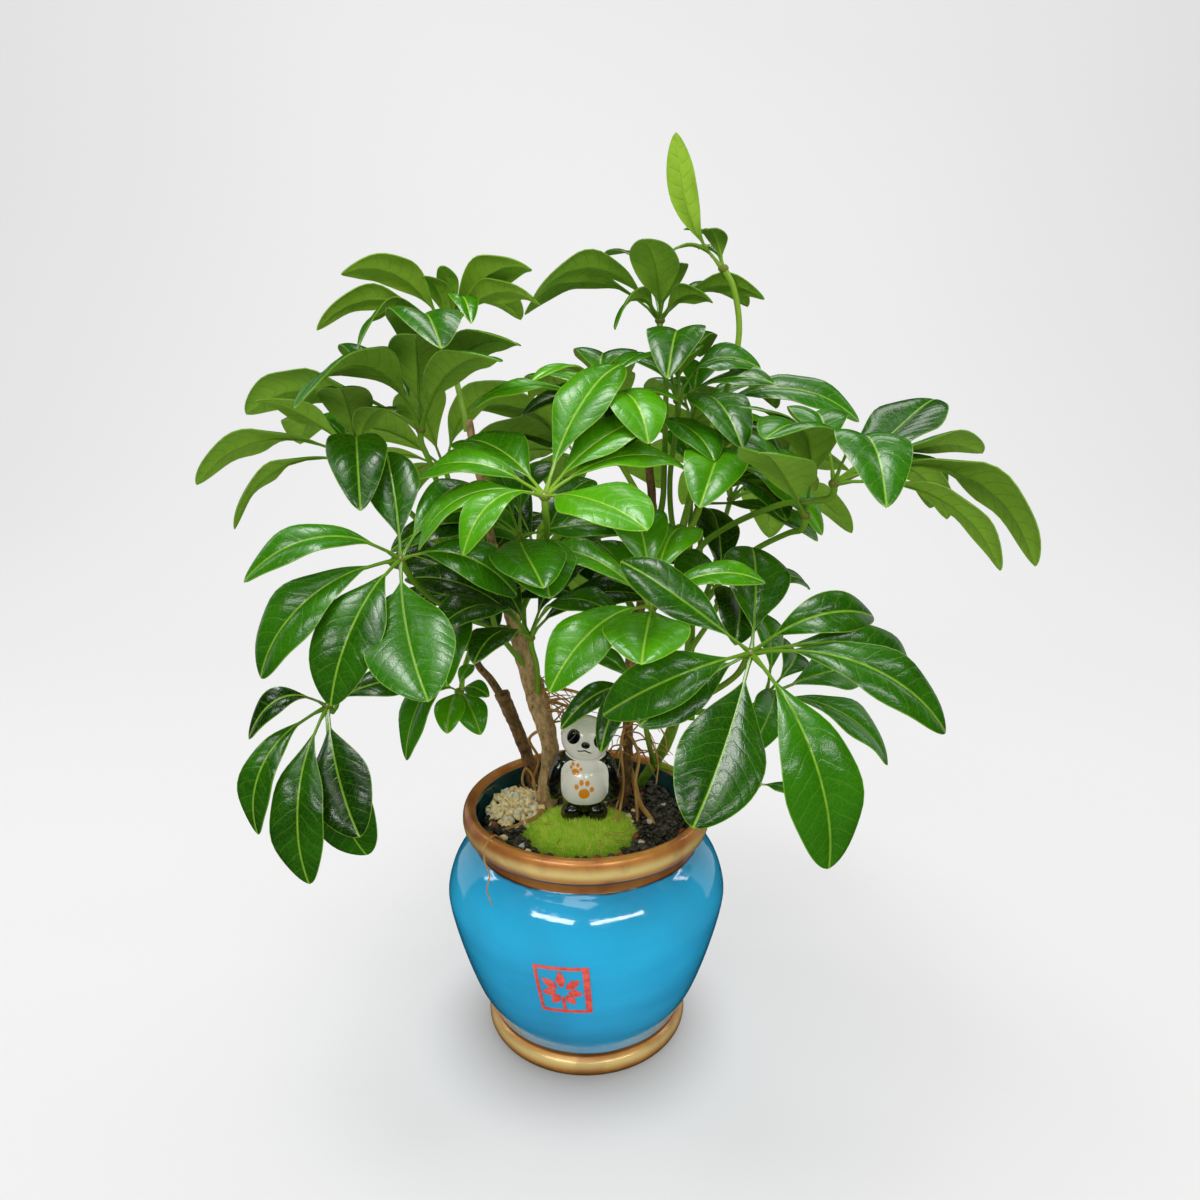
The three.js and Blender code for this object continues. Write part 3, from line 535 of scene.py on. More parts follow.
blue = (drift * 0.6 + throwing * 0.4).above(0.5, 0.22).mix(srgb(38, 154, 210), srgb(58, 188, 240))
# Painted light: the blue is made lighter over the belly, from about 62 to 112 mm high, where light
# falls on it.
painted_belly_light = pot_z.above(62, 44) * pot_z.below(112, 9)
blue = (painted_belly_light * 0.6).mix(blue, srgb(48, 190, 238))
dulled = pot_z.below(50, 26) * 0.35 + drift.below(0.44, 0.1) * 0.25
blue = dulled.mix(blue, srgb(66, 148, 184))
blue = (speckle.above(0.76, 0.03) * 0.5).mix(blue, srgb(10, 96, 136))
brush = glaze.noise(9, detail=3, stretch=(0.4, 0.4, 1.6))
worn = glaze.noise(17, detail=3)
streak = (brush * 0.5 + worn * 0.5 - 0.5) * 2.4
# Painted highlights: pale gold bands round the lip and the foot bead, where the lamps would shine
# on the bronze.
painted_lip_highlight = abs(pot_z + streak - LIP_HIGHLIGHT).below(2.4, 2.2)
painted_foot_highlight = abs(pot_z + streak * 0.5 - FOOT_HIGHLIGHT).below(1.8, 2.2)
gold = worn.above(0.5, 0.3).mix(srgb(232, 160, 78), srgb(190, 114, 50))
gold = any_of([painted_lip_highlight, painted_foot_highlight]).mix(gold, srgb(255, 228, 148))
# Painted shade: the bronze turns darker brown towards the left and right of the pot, mixed with
# some real wear.
sides = abs(pot_x).above(46, 22)
gold = (sides * 0.4 + worn.above(0.58, 0.1) * 0.2).mix(gold, srgb(146, 78, 38))
# Painted shade: the neck band under the roll is darkened, and near-black lines run in the groove
# under the roll and where the bronze meets the blue at the neck and the foot.
neck_shade = pot_z.below(LIP_EDGE + 0.4, 1.2) * pot_z.above(HALF_WAY, 1)
painted_groove_shade = abs(pot_z - LIP_EDGE).below(1.2, 0.7) + abs(pot_z - BRONZE_TOP).below(0.8, 0.4)
painted_foot_groove_shade = pot_z.above(FOOT_EDGE, 1) * pot_z.below(HALF_WAY, 1)
gold = (neck_shade * 0.5).mix(gold, srgb(112, 66, 26))
gold = any_of([painted_groove_shade * 0.9, painted_foot_groove_shade * 0.8]).mix(gold, srgb(40, 24, 10))
verdigris = (pot_z + wobble * 1.5).below(FOOT_GREEN, 1.8)
gold = (verdigris * 0.8).mix(gold, srgb(84, 88, 30))
is_bronze = (pot_z + wobble).above(BRONZE_TOP, 0.5) + (pot_z + wobble).below(BRONZE_FOOT, 0.4)
is_inside = glaze.attribute("within").above(0.5, 0.2)
# Painted shade: the inner wall is the glaze's teal, drawn dark as the shade inside the pot.
shaded_inner_teal = glaze.noise(12, detail=4).mix(srgb(10, 40, 44), srgb(38, 88, 88))
is_bronze = is_bronze * (1 - is_inside)

colour = is_bronze.mix(blue, gold)
glaze.feed(
    Base_Color=is_inside.mix(colour, shaded_inner_teal),
    Metallic=is_bronze * 0.3,
    Roughness=is_bronze * (0.26 + worn * 0.16) + (1 - is_bronze) * (0.08 + speckle * 0.04),
    Coat_Weight=0.8 - is_bronze * 0.45,
)
rings = glaze.noise(8, detail=3, stretch=(0.3, 0.3, 1.6))
glaze.bump(throwing * 0.55 + rings * 0.45 + glaze.noise(6, detail=1) * 0.25, GLAZE_DEPTH)
dress(pot, glaze, "glaze", "pot")
print("finish:", glaze.material.name)

# %% [markdown]
# ## The seal on the belly
# The maker presses a square seal into the belly and fills it with coral enamel. This one is a
# plain ornament: a frame round a leaf of seven fingers. It could be painted in the glaze's
# finish, but real enamel stands up a little and catches light at its edge. So flat shapes are
# drawn first, then wrapped on the wall by turning each point's sideways place into an angle,
# and given their thickness last.

# %% The seal
SEAL_ANGLE = math.radians(-98)
SEAL_HEIGHT = 71.5
SEAL_WIDE = 29
SEAL_TALL = 32
SEAL_THICK = 0.55
SEAL_SINK = 0.15
SEAL_SLANT = 0.07
SEAL_DROP = 0.03
BAR = 1.8
WIDE_BAR = 3.4
LEAF_ROOT = (-0.8, -0.6)
FINGER_WIDTH = 2.4
FINGER_START = 3.2
FINGERS = [(0, 10.6), (50, 9.6), (-50, 9.6), (98, 7.8), (-98, 7.8), (144, 7.6), (-144, 7.6)]
POINT = 0.12


def flat_strip(across, up, wide, tall):
    """A flat strip, fine enough to be wrapped round the wall."""
    deselect()
    bpy.ops.mesh.primitive_grid_add(x_subdivisions=10, y_subdivisions=14, size=1)
    strip = bpy.context.object
    strip.scale = (wide, tall, 1)
    strip.location = (across, up, 0)
    settle(strip)
    return strip


def flat_leaf(angle, length, wide):
    """A pointed flat finger that grows from the leaf's centre."""
    deselect()
    bpy.ops.mesh.primitive_grid_add(x_subdivisions=8, y_subdivisions=12, size=1)
    leaf = bpy.context.object
    for vertex in leaf.data.vertices:
        along = vertex.co.y + 0.5
        half = wide * math.sin(math.pi * along ** 0.9) ** 0.9 if 0 < along < 1 else 0
        vertex.co = Vector((vertex.co.x * 2 * max(half, POINT), FINGER_START + along * length, 0))
    leaf.rotation_euler.z = math.radians(angle)
    leaf.location = (*LEAF_ROOT, 0)
    settle(leaf)
    return leaf


side = (SEAL_WIDE - BAR) / 2
top = (SEAL_TALL - BAR) / 2
seal_parts = [
    flat_strip(-side, 0, BAR, SEAL_TALL),
    flat_strip((SEAL_WIDE - WIDE_BAR) / 2, 0, WIDE_BAR, SEAL_TALL),
    flat_strip(0, top, SEAL_WIDE - 4, BAR),
    flat_strip(0, -top, SEAL_WIDE - 4, BAR),
    flat_strip(LEAF_ROOT[0], -9.2, BAR, 9.6),
    *[flat_leaf(angle, length, FINGER_WIDTH) for angle, length in FINGERS],
]
seal = join(seal_parts, "pot_seal")
for vertex in seal.data.vertices:
    across = vertex.co.x - vertex.co.y * SEAL_SLANT
    height = SEAL_HEIGHT + vertex.co.y + vertex.co.x * SEAL_DROP
    radius = np.interp(height, outer_wall[:, 1], outer_wall[:, 0]) - SEAL_SINK
    angle = SEAL_ANGLE + across / BELLY_RADIUS
    vertex.co = Vector((radius * math.cos(angle), radius * math.sin(angle), height)) * MM
modify(seal, "SOLIDIFY", thickness=SEAL_THICK * MM, offset=1)
close_up(seal)
modify(seal, "BEVEL", width=0.14 * MM, segments=2, limit_method="ANGLE")
smooth(seal, 35)

enamel = Finish("coral_enamel", Roughness=0.32, Coat_Weight=0.3, Coat_Roughness=0.1)
thin = enamel.noise(3.5, detail=4).above(0.5, 0.2)
enamel.feed(Base_Color=thin.mix(srgb(225, 66, 58), srgb(248, 104, 88)))
enamel.bump(enamel.noise(0.8, detail=2), 0.08)
dress(seal, enamel, "glaze")
print("seal faces:", len(seal.data.polygons))

# %% [markdown]
# ## Soil and stones
# The soil stays the solid's own shape, because only dark glints of it show between stones. The
# dressing is loose: black washed gravel over the soil and one heap of pale quartz. A particle
# system could strew them, but each stone is placed by rule here, so none floats and the same
# stones lie there each time: one stone is modelled with few faces, copied with a mesh of its
# own, turned, and laid on an uneven bed. Spots that the moss, the pebbles, the panda and the
# stems take are left out.

# %% The soil's finish
earth = Finish("dark_soil", Roughness=1.0)
crumb = earth.noise(2.2, detail=5, roughness=0.7)
earth.feed(Base_Color=crumb.mix(srgb(14, 10, 8), srgb(52, 38, 28)))
earth.bump(crumb, 1.2)
for material_slot in frame["nodes"]["soil"].material_slots:
    material_slot.material = earth.material
print("finish:", earth.material.name)

# %% Copies of a finished piece
def copies(template, places, name, seed):
    """Copies of a piece, each with its own mesh and tone, moved by matrices and joined."""
    draw = random.Random(seed)
    made = []
    for place in places:
        copy = template.copy()
        copy.data = template.data.copy()
        copy.data.transform(place)
        mark(copy, "tone", draw.random())
        bpy.context.collection.objects.link(copy)
        made.append(copy)
    bpy.data.objects.remove(template)
    return join(made, name)


def spot(place, turn, size):
    """A matrix that scales, turns and moves a template to a place in millimetres."""
    moved = Matrix.Translation(Vector(place) * MM)
    turned_by = Matrix.Rotation(turn[2], 4, "Z") @ Matrix.Rotation(turn[0], 4, "X")
    return moved @ turned_by @ Matrix.Rotation(turn[1], 4, "Y") @ Matrix.Diagonal((*size, 1))


def stone(segments, rings, roughen, seed):
    """A small stone about 1 mm across: a ball of few faces with every point nudged."""
    draw = random.Random(seed)
    deselect()
    bpy.ops.mesh.primitive_uv_sphere_add(segments=segments, ring_count=rings, radius=0.5 * MM)
    made = bpy.context.object
    for vertex in made.data.vertices:
        vertex.co *= 1 + roughen * (draw.random() - 0.5)
    return made


# %% Where things stand in the pot
GROUND = 128.2
SOIL_RADIUS = 59
MOSS = {"x": -3, "y": -17.5, "across": 32, "deep": 31, "height": 6}
PEBBLES = {"x": -41, "y": 8, "across": 17.5, "deep": 25, "height": 6}
STEM_FEET = [(-33, 40, 4.5), (-24, 15, 7.5), (21, 15, 3.6), (33, 38, 3.4)]


def share_of(mound, x, y):
    """How far a spot is from a mound's middle, where 1 is its edge."""
    return math.hypot((x - mound["x"]) / mound["across"], (y - mound["y"]) / mound["deep"])


def any_of_each(draw, spans):
    """A random number within each span, such as a size or a turn along three axes."""
    return [draw.uniform(*span) for span in spans]


# %% The black gravel
GRAVEL_STEP = 3.3
GRAVEL_SIZES = ((4.2, 6.8), (3, 4.4), (2.4, 3.2))
FLAT_TURN = ((-0.5, 0.5), (-0.5, 0.5), (0, 6.3))
ANY_TURN = ((0, 6.3),) * 3
LAYERS = ((0, 1), (1.7, 0.55))

draw = random.Random(5)
places = []
steps = range(-int(SOIL_RADIUS / GRAVEL_STEP) - 1, int(SOIL_RADIUS / GRAVEL_STEP) + 2)
for layer, (lift, share) in enumerate(LAYERS):
    for row in steps:
        for column in steps:
            x = (column + 0.5 * (row % 2) + 0.4 * layer) * GRAVEL_STEP + draw.uniform(-0.9, 0.9)
            y = (row + 0.5 * layer) * GRAVEL_STEP + draw.uniform(-0.9, 0.9)
            size, turn = any_of_each(draw, GRAVEL_SIZES), any_of_each(draw, FLAT_TURN)
            stays = draw.random() < share
            taken = share_of(MOSS, x, y) < 0.97 or share_of(PEBBLES, x, y) < 0.9
            on_stem = any(math.hypot(x - a, y - b) < r for a, b, r in STEM_FEET)
            if stays and math.hypot(x, y) < SOIL_RADIUS - 1.4 and not taken and not on_stem:
                bank = 0.7 * math.sin(x * 0.13 + 1) * math.cos(y * 0.11)
                places.append(spot((x, y, GROUND + bank + lift), turn, size))
gravel = copies(stone(7, 5, 0.16, 2), places, "gravel_stones", 6)
smooth(gravel, 180)

slate = Finish("black_gravel", Specular_IOR_Level=0.5)
tone = slate.attribute("tone")
dust = slate.noise(1.6, detail=4)
dark = (tone.above(0.5, 0.5) * 0.6 + dust * 0.25).mix(srgb(16, 14, 13), srgb(88, 80, 70))
dark = tone.above(0.972, 0.004).mix(dark, srgb(150, 74, 34))
dark = tone.below(0.012, 0.003).mix(dark, srgb(206, 196, 172))
slate.feed(Base_Color=dark, Roughness=0.14 + tone * 0.26)
slate.bump(dust, 0.15)
dress(gravel, slate, "gravel", "gravel_black")
print("gravel stones:", len(places))

# %% The pale pebbles
GOLDEN = math.pi * (3 - math.sqrt(5))
PEBBLE_COUNT = 135
PEBBLE_SINK = 0.6
LOOSE_LIFT = 1.6
PEBBLE_SIZES = ((5, 8), (3.6, 5.4), (3, 4.4))
LOOSE_SIZES = ((4, 6), (3.4, 4.6), (2.6, 4))
LOOSE_PEBBLES = [(-34, -35), (-30, -41), (-45, -26), (-24, -46), (24, -2), (27, 4), (26, -9)]

draw = random.Random(8)
places = []
for k in range(PEBBLE_COUNT):
    out = math.sqrt((k + 0.5) / PEBBLE_COUNT) * 0.99
    turn = k * GOLDEN + draw.uniform(-0.2, 0.2)
    x = PEBBLES["x"] + PEBBLES["across"] * out * math.cos(turn)
    y = PEBBLES["y"] + PEBBLES["deep"] * out * math.sin(turn)
    if math.hypot(x, y) > SOIL_RADIUS - 2:
        continue
    heap = PEBBLES["height"] + draw.uniform(-1.2, 0.8)
    z = GROUND - PEBBLE_SINK + heap * math.sqrt(1 - out * out)
    size = any_of_each(draw, PEBBLE_SIZES)
    places.append(spot((x, y, z), any_of_each(draw, ANY_TURN), size))
for x, y in LOOSE_PEBBLES:
    size = any_of_each(draw, LOOSE_SIZES)
    places.append(spot((x, y, GROUND + LOOSE_LIFT), any_of_each(draw, ANY_TURN), size))
pebbles = copies(stone(6, 4, 0.5, 3), places, "pebble_stones", 9)
modify(pebbles, "BEVEL", width=0.25 * MM, segments=1, limit_method="ANGLE")
smooth(pebbles, 40)

quartz = Finish("pale_quartz", Specular_IOR_Level=0.35)
tone = quartz.attribute("tone")
stain = quartz.noise(2.5, detail=4)
cream = tone.mix(srgb(252, 224, 160), srgb(255, 250, 216))
warm = (stain.above(0.57, 0.1) * 0.7).mix(cream, srgb(142, 102, 54))
grey = (tone.above(0.86, 0.05) * 0.7).mix(warm, srgb(205, 205, 200))
quartz.feed(Base_Color=grey, Roughness=0.55 + stain * 0.3)
quartz.bump(quartz.noise(0.7, detail=3), 0.25)
dress(pebbles, quartz, "pebble", "pebbles")
print("pebbles:", len(places))

# %% [markdown]
# ## The moss
# A cushion of living moss is thousands of short upright shoots on a soft mound. A bumpy green
# dome would pass from across the room but not up close. So the mound is turned like the pot, a
# tuft of a few curved shoots is modelled once, and copies of it stand along the mound's own
# slope, a little longer in the middle than at the rim.

# %% The moss mound
TUFT_COUNT = 1500
SHOOTS_PER_TUFT = 7
SHOOT_LENGTH = 3.6
SHOOT_TURN = ((-0.8, 0.8), (-0.8, 0.8), (0, 6))
SHOOT_SPREAD = ((-0.8, 0.8), (-0.8, 0.8))
DOME = 100
DOME_SINK = 1.2
TUFT_SINK = 1.4
RIM_TILT = 1.15
FEET = {"x": -1, "y": -5, "across": 12, "deep": 8}
STRAWS = [(14, -30), (18, -27), (20, -33), (24, -20), (8, -38), (-14, -36), (16, -12), (-20, -20)]
STRAW_TONE = 2

mound = turned("moss_core", arc(0, 0, DOME, DOME, 4, 88, 14), 64)
half_sizes = [MOSS[side] / DOME for side in ("across", "deep", "height")]
mound.data.transform(spot((MOSS["x"], MOSS["y"], GROUND - DOME_SINK), (0, 0, 0), half_sizes))
mark(mound, "tone", 0.1)
smooth(mound)

deselect()
tuft_parts = []
draw = random.Random(11)
for k in range(SHOOTS_PER_TUFT):
    bpy.ops.mesh.primitive_cone_add(vertices=3, radius1=0.27 * MM, depth=SHOOT_LENGTH * MM)
    shoot = bpy.context.object
    shoot.location = (0, 0, SHOOT_LENGTH / 2 * MM)
    settle(shoot)
    shoot.rotation_euler = any_of_each(draw, SHOOT_TURN)
    shoot.location = Vector((*any_of_each(draw, SHOOT_SPREAD), 0)) * MM
    settle(shoot)
    tuft_parts.append(shoot)
tuft = join(tuft_parts, "tuft")

places = []
for k in range(TUFT_COUNT):
    out = math.sqrt((k + 0.5) / TUFT_COUNT)
    turn = k * GOLDEN
    x = MOSS["x"] + MOSS["across"] * out * math.cos(turn)
    y = MOSS["y"] + MOSS["deep"] * out * math.sin(turn)
    z = GROUND - TUFT_SINK + MOSS["height"] * math.sqrt(max(0, 1 - out * out))
    z += draw.uniform(-0.3, 0.3)
    tilt = RIM_TILT * out ** 2.5
    size = draw.uniform(0.75, 1.1) * (1.15 - 0.3 * out)
    lean = Matrix.Rotation(tilt, 4, Vector((-math.sin(turn), math.cos(turn), 0)))
    spin = Matrix.Rotation(draw.uniform(0, 6.3), 4, "Z")
    moved = Matrix.Translation(Vector((x, y, z)) * MM)
    on_foot = abs(x - FEET["x"]) < FEET["across"] and abs(y - FEET["y"]) < FEET["deep"]
    if not on_foot and math.hypot(x, y) < SOIL_RADIUS:
        places.append(moved @ lean @ spin @ Matrix.Scale(size, 4))
moss_tufts = copies(tuft, places, "moss_tufts", 12)

# A few dry straws lie on the shoots.
bpy.ops.mesh.primitive_cone_add(vertices=5, radius1=0.4 * MM, radius2=0.15 * MM, depth=6 * MM)
straw = bpy.context.object
places = []
for x, y in STRAWS:
    z = GROUND + 1.4 + MOSS["height"] * math.sqrt(1 - min(1, share_of(MOSS, x, y)) ** 2)
    turn = (math.pi / 2 + draw.uniform(-0.2, 0.2), 0, draw.uniform(0, 3.1))
    places.append(spot((x, y, z), turn, [1, 1, draw.uniform(0.7, 1.3)]))
straws = mark(copies(straw, places, "straws", 13), "tone", STRAW_TONE)
moss = join([moss_tufts, mound, straws], "moss_cushion")

moss_finish = Finish("living_moss", Roughness=0.75, Specular_IOR_Level=0.25)
tone = moss_finish.attribute("tone")
patch = moss_finish.noise(9, detail=3)
green = (tone * 0.7 + patch * 0.3).above(0.5, 0.5).mix(srgb(168, 230, 18), srgb(252, 255, 124))
# Painted shade: the moss is darker green low down, within about 2 mm of the soil, where the shoots
# shade each other.
above_painted_shade = moss_finish.axes()[2].above(GROUND + 2, 3)
green = (0.2 + above_painted_shade * 0.8).mix(srgb(84, 128, 5), green)
is_straw = tone.above(STRAW_TONE - 0.5, 0.1)
moss_finish.feed(Base_Color=is_straw.mix(green, srgb(206, 158, 92)))
moss_finish.bump(moss_finish.noise(0.6, detail=2), 0.2)
dress(moss, moss_finish, "moss", "moss_mound")
print("moss faces:", len(moss.data.polygons))

# %% [markdown]
# ## The panda
# The figurine is slip-cast: one clay body from a mould, with all its parts run into each other,
# then painted by hand and glazed. Balls of the right sizes make its parts. Joining them as they
# are would leave sharp creases, so a voxel remesh fuses them into one skin and a smoothing
# modifier softens the joins, as slip does in a mould.

# %% The panda's body
PANDA = Vector((-1, -4, 131))
HEAD = Vector((1, -0.5, 48.4))
HEAD_TILT = math.radians(10)
SKIN_STEP = 0.5


def lump(place, half_sizes, tilt=0.0):
    """One ball of the figurine: its middle from the panda's own foot, and its half sizes."""
    deselect()
    bpy.ops.mesh.primitive_uv_sphere_add(
        segments=40, ring_count=28, radius=1, scale=Vector(half_sizes) * MM,
        location=(PANDA + Vector(place)) * MM, rotation=(0, tilt, 0),
    )
    return bpy.context.object


def head_lump(place, half_sizes, tilt=0.0):
    """A ball that is placed from the middle of the head, which leans to one side."""
    leaned = Matrix.Rotation(HEAD_TILT, 3, "Y") @ Vector(place)
    return lump(HEAD + leaned, half_sizes, tilt + HEAD_TILT)


lumps = [
    lump((0, 0, 20), (14.6, 12, 16)),
    lump((0.4, 0.6, 33), (11.5, 9.5, 9)),
    head_lump((0, 0, 0), (13.7, 12.2, 12.9)),
    head_lump((0, -10.4, -1), (5.4, 3.2, 4.4)),
    head_lump((-0.1, -13.3, 1.2), (2.3, 1.2, 1.6)),
    head_lump((-7.2, -8.9, 3.5), (3.3, 2, 4.1), 0.5),
    head_lump((7.4, -8.9, 3.5), (3.3, 2, 4.1), -0.5),
]
LIMBS = [
    ((6.8, -2.8, 4), (6.6, 8.4, 5.2), 0),
    ((6.8, -6.5, 6.5), (5, 4.4, 4.8), 0),
    ((10, 0.4, 33.5), (6.6, 7, 6.4), 0.4),
    ((15.2, -1.8, 25), (5.1, 6.4, 12.4), -0.24),
    ((16.4, -3.4, 18), (3.7, 4.9, 5.6), -0.1),
]
for flip in (-1, 1):
    for (x, y, z), half_sizes, tilt in LIMBS:
        lumps.append(lump((flip * x, y, z), half_sizes, flip * tilt))
    lumps.append(head_lump((flip * 11.2, 2, 9), (4.3, 3, 4.3)))
panda = join(lumps, "panda_ceramic")
settle(panda)
modify(panda, "REMESH", mode="VOXEL", voxel_size=SKIN_STEP * MM)
modify(panda, "SMOOTH", factor=0.5, iterations=4)
edit(panda)
bpy.ops.mesh.select_all(action="SELECT")
bpy.ops.mesh.bisect(
    plane_co=(0, 0, PANDA.z * MM), plane_no=(0, 0, 1), use_fill=True, clear_inner=True
)
leave()
close_up(panda)
smooth(panda, 60)
print("panda faces:", len(panda.data.polygons))

# %% [markdown]
# The paint is glossy black and off-white, with orange paw prints on the belly. Each painted
# field is an oval on the figurine's front, or a square with round corners on the belly, so each
# is one sum of the two front coordinates. It could be painted on an unwrapped skin, but sums
# need no seams. The edges wander by a fraction of a millimetre, as a brush line does.

# %% The panda's paint
EYES = [(-7.2, 3.5, 3.2, 4.2, 0.5), (7.4, 3.5, 3.2, 4.2, -0.5)]
NOSE = (-0.1, 1.2, 2.4, 1.6)
SMALL_PAW = [(-4.6, 31.4, 2.1, 1.9), (-7, 33.6, 0.8, 1), (-5.9, 35.6, 0.9, 1.1),
             (-3.3, 35.3, 0.9, 1.1), (-1.6, 33.2, 0.9, 1)]
BIG_PAW = [(0.1, 20, 3.1, 3), (-4, 23.8, 1.2, 1.5), (-1.3, 26.2, 1.2, 1.6),
           (2, 25.8, 1.2, 1.6), (4.4, 22.3, 1.2, 1.5)]

ceramic = Finish("panda_paint", Coat_Weight=0.9, Coat_Roughness=0.08, Specular_IOR_Level=0.5)
panda_x, panda_y, panda_z = ceramic.axes()
hand = (ceramic.noise(3, detail=2) - 0.5) * 0.12
dx, dy, dz = panda_x - PANDA.x, panda_y - PANDA.y, panda_z - PANDA.z
from_x, from_z = dx - HEAD.x, dz - HEAD.z
face_x = from_x * math.cos(HEAD_TILT) - from_z * math.sin(HEAD_TILT)
face_z = from_x * math.sin(HEAD_TILT) + from_z * math.cos(HEAD_TILT)


def oval(across, up, x, z, half_x, half_z, tilt=0.0, soft=0.05):
    """1 inside a tilted oval on the front, and 0 outside."""
    along = (across - x) * math.cos(tilt) - (up - z) * math.sin(tilt)
    over = (across - x) * math.sin(tilt) + (up - z) * math.cos(tilt)
    return ((along / half_x) ** 2 + (over / half_z) ** 2 + hand).below(1, soft)


front = dy.below(-2, 1.5)
skull = (face_x / 14) ** 2 + ((dy - HEAD.y) / 12.6) ** 2 + (face_z / 13.2) ** 2
muzzle = oval(face_x, face_z, 0, -1, 8, 6.5) * front
on_head = (skull + hand * 0.5).below(1.1, 0.02).maths("MAXIMUM", muzzle)
belly = ((abs(dx - 0.4) / 13.2) ** 4 + (abs(dz - 25) / 12.4) ** 4 + hand).below(1, 0.03)
belly = belly * dy.below(-2.5, 0.5)
rump = ((dx / 13) ** 2 + ((dz - 14) / 13) ** 2 + hand).below(1, 0.04) * dy.above(2, 0.5)
white = any_of([on_head, belly, rump])
black_face = [oval(face_x, face_z, *eye) for eye in EYES] + [oval(face_x, face_z, *NOSE)]
smile = abs(face_z + 1.6 + abs(face_x) * 0.4).below(0.42, 0.1) * abs(face_x).below(3.8, 0.2)
black_face = any_of([*black_face, smile]) * front
paws = any_of([oval(dx, dz, *paw, soft=0.12) for paw in SMALL_PAW + BIG_PAW]) * front

skin = ceramic.noise(7, detail=4).mix(srgb(236, 232, 218), srgb(252, 250, 242))
painted = white.mix(srgb(12, 12, 13), skin)
painted = (black_face * white).mix(painted, srgb(12, 12, 13))
painted = (paws * white).mix(painted, srgb(244, 152, 26))
ceramic.feed(Base_Color=painted, Roughness=0.16 + ceramic.noise(4, detail=3) * 0.16)
ceramic.bump(ceramic.noise(2.4, detail=3), 0.18)
dress(panda, ceramic, "panda_ceramic", "panda_figurine")
print("finish:", ceramic.material.name)

# %% [markdown]
# ## Stems and roots
# The stems are old wood: tan and knobbly on the main trunk, darker on the others, and one
# stem is still green. Each follows the solid's own points. A curve with a round bevel gives
# the tube, its radius swelling at old leaf scars, and a displace modifier with a cloud pattern
# adds the lumps of bark. A skin modifier would be another way, but it gives less control of
# thickness.


# %% Tubes along a path
def tube(name, points, radii, sides):
    """A closed tube through points, in mm, whose radius is listed for each point."""
    deselect()
    line = bpy.data.curves.new(name, "CURVE")
    line.dimensions = "3D"
    line.bevel_depth = MM
    line.bevel_resolution = max(0, sides // 2 - 2)
    line.use_fill_caps = True
    spline = line.splines.new("POLY")
    spline.points.add(len(points) - 1)
    for knot, point, radius in zip(spline.points, points, radii):
        knot.co = (*(Vector(point) * MM), 1)
        knot.radius = radius
    made = bpy.data.objects.new(name, line)
    bpy.context.collection.objects.link(made)
    activate(made)
    bpy.ops.object.convert(target="MESH")
    made = bpy.context.object
    close_up(made)
    return made


def spread_radii(radii, count):
    """The listed radii, stretched evenly over that many points."""
    return np.interp(np.linspace(0, 1, count), np.linspace(0, 1, len(radii)), radii)


def thin_tubes(name, paths, steps):
    """A tube of eight sides for each path and its radii."""
    return [
        tube(name, flow(path, steps), spread_radii(radii, steps + 1), 8) for path, radii in paths
    ]


# %% The four stems
ROOT = [1, 0.8]
STEMS = {
    "stem_left": (
        [[-31, 38, 108], [-33, 40, 130], [-38, 41, 152], [-44, 40, 170], [-51, 38, 190]],
        [4.2, 4, 3.8, 3.9, 4.4],
        [([[-49, 38, 184], [-57, 36, 199], [-63, 30, 210], [-66, 22, 228]],
          [2.6, 2.4, 2.1, 1.8])],
    ),
    "trunk_main": (
        [[-25, 15, 106], [-24, 15, 126], [-22, 14, 148], [-21, 13, 166], [-25, 11, 187],
         [-30, 10, 206], [-35, 8, 225], [-42, 5, 253], [-50, 5, 287], [-54, 8, 316],
         [-59, 12, 336], [-61, 15, 352]],
        [7.5, 6.6, 5.2, 5, 6.4, 5.2, 4, 3.2, 2.8, 2.4, 2.2, 2],
        [([[-26, 12, 196], [-12, 17, 190], [2, 21, 180], [15, 19, 170]], ROOT),
         ([[-28, 8, 203], [-10, 0, 206], [8, 6, 196], [17, 10, 182]], ROOT),
         ([[-24, 14, 178], [-34, 26, 165], [-29, 31, 150], [-33, 33, 134], [-31, 30, 124]],
          ROOT)],
    ),
    "trunk_right": (
        [[20, 15, 108], [21, 15, 128], [24, 14, 151], [24, 14, 170], [24, 14, 188],
         [26, 14, 225], [32, 12, 260], [36, 8, 300], [34, 5, 325], [32, 3, 342]],
        [4, 3.2, 2.8, 3.2, 3.2, 2.9, 2.6, 2.4, 2.2, 2],
        [([[22, 15, 160], [27, 16, 146], [31, 8, 133], [37, -6, 130], [40, -12, 124]], [2, 1.4]),
         ([[24, 14, 184], [20, 6, 172], [21, -2, 150], [18, -14, 132], [17, -18, 122]], ROOT),
         ([[24, 14, 176], [30, 6, 164], [28, 0, 150], [29, -4, 134], [29, -6, 122]], ROOT)],
    ),
    "stem_green": (
        [[33, 38, 108], [33, 38, 130], [39, 34, 143], [47, 28, 161], [53, 20, 186],
         [58, 10, 232], [54, 5, 264], [51, 5, 298]],
        [3, 3, 3.6, 3, 3, 2.8, 2.6, 2.4],
        [],
    ),
}

STEM_STEPS = 90
TWIG_STEPS = 36
SCAR_SWELL = 0.07
BARK_DEPTH = 1.7

bark_lumps = bpy.data.textures.new("bark_lumps", "CLOUDS")
bark_lumps.noise_scale = 0.006
bark_lumps.noise_depth = 3


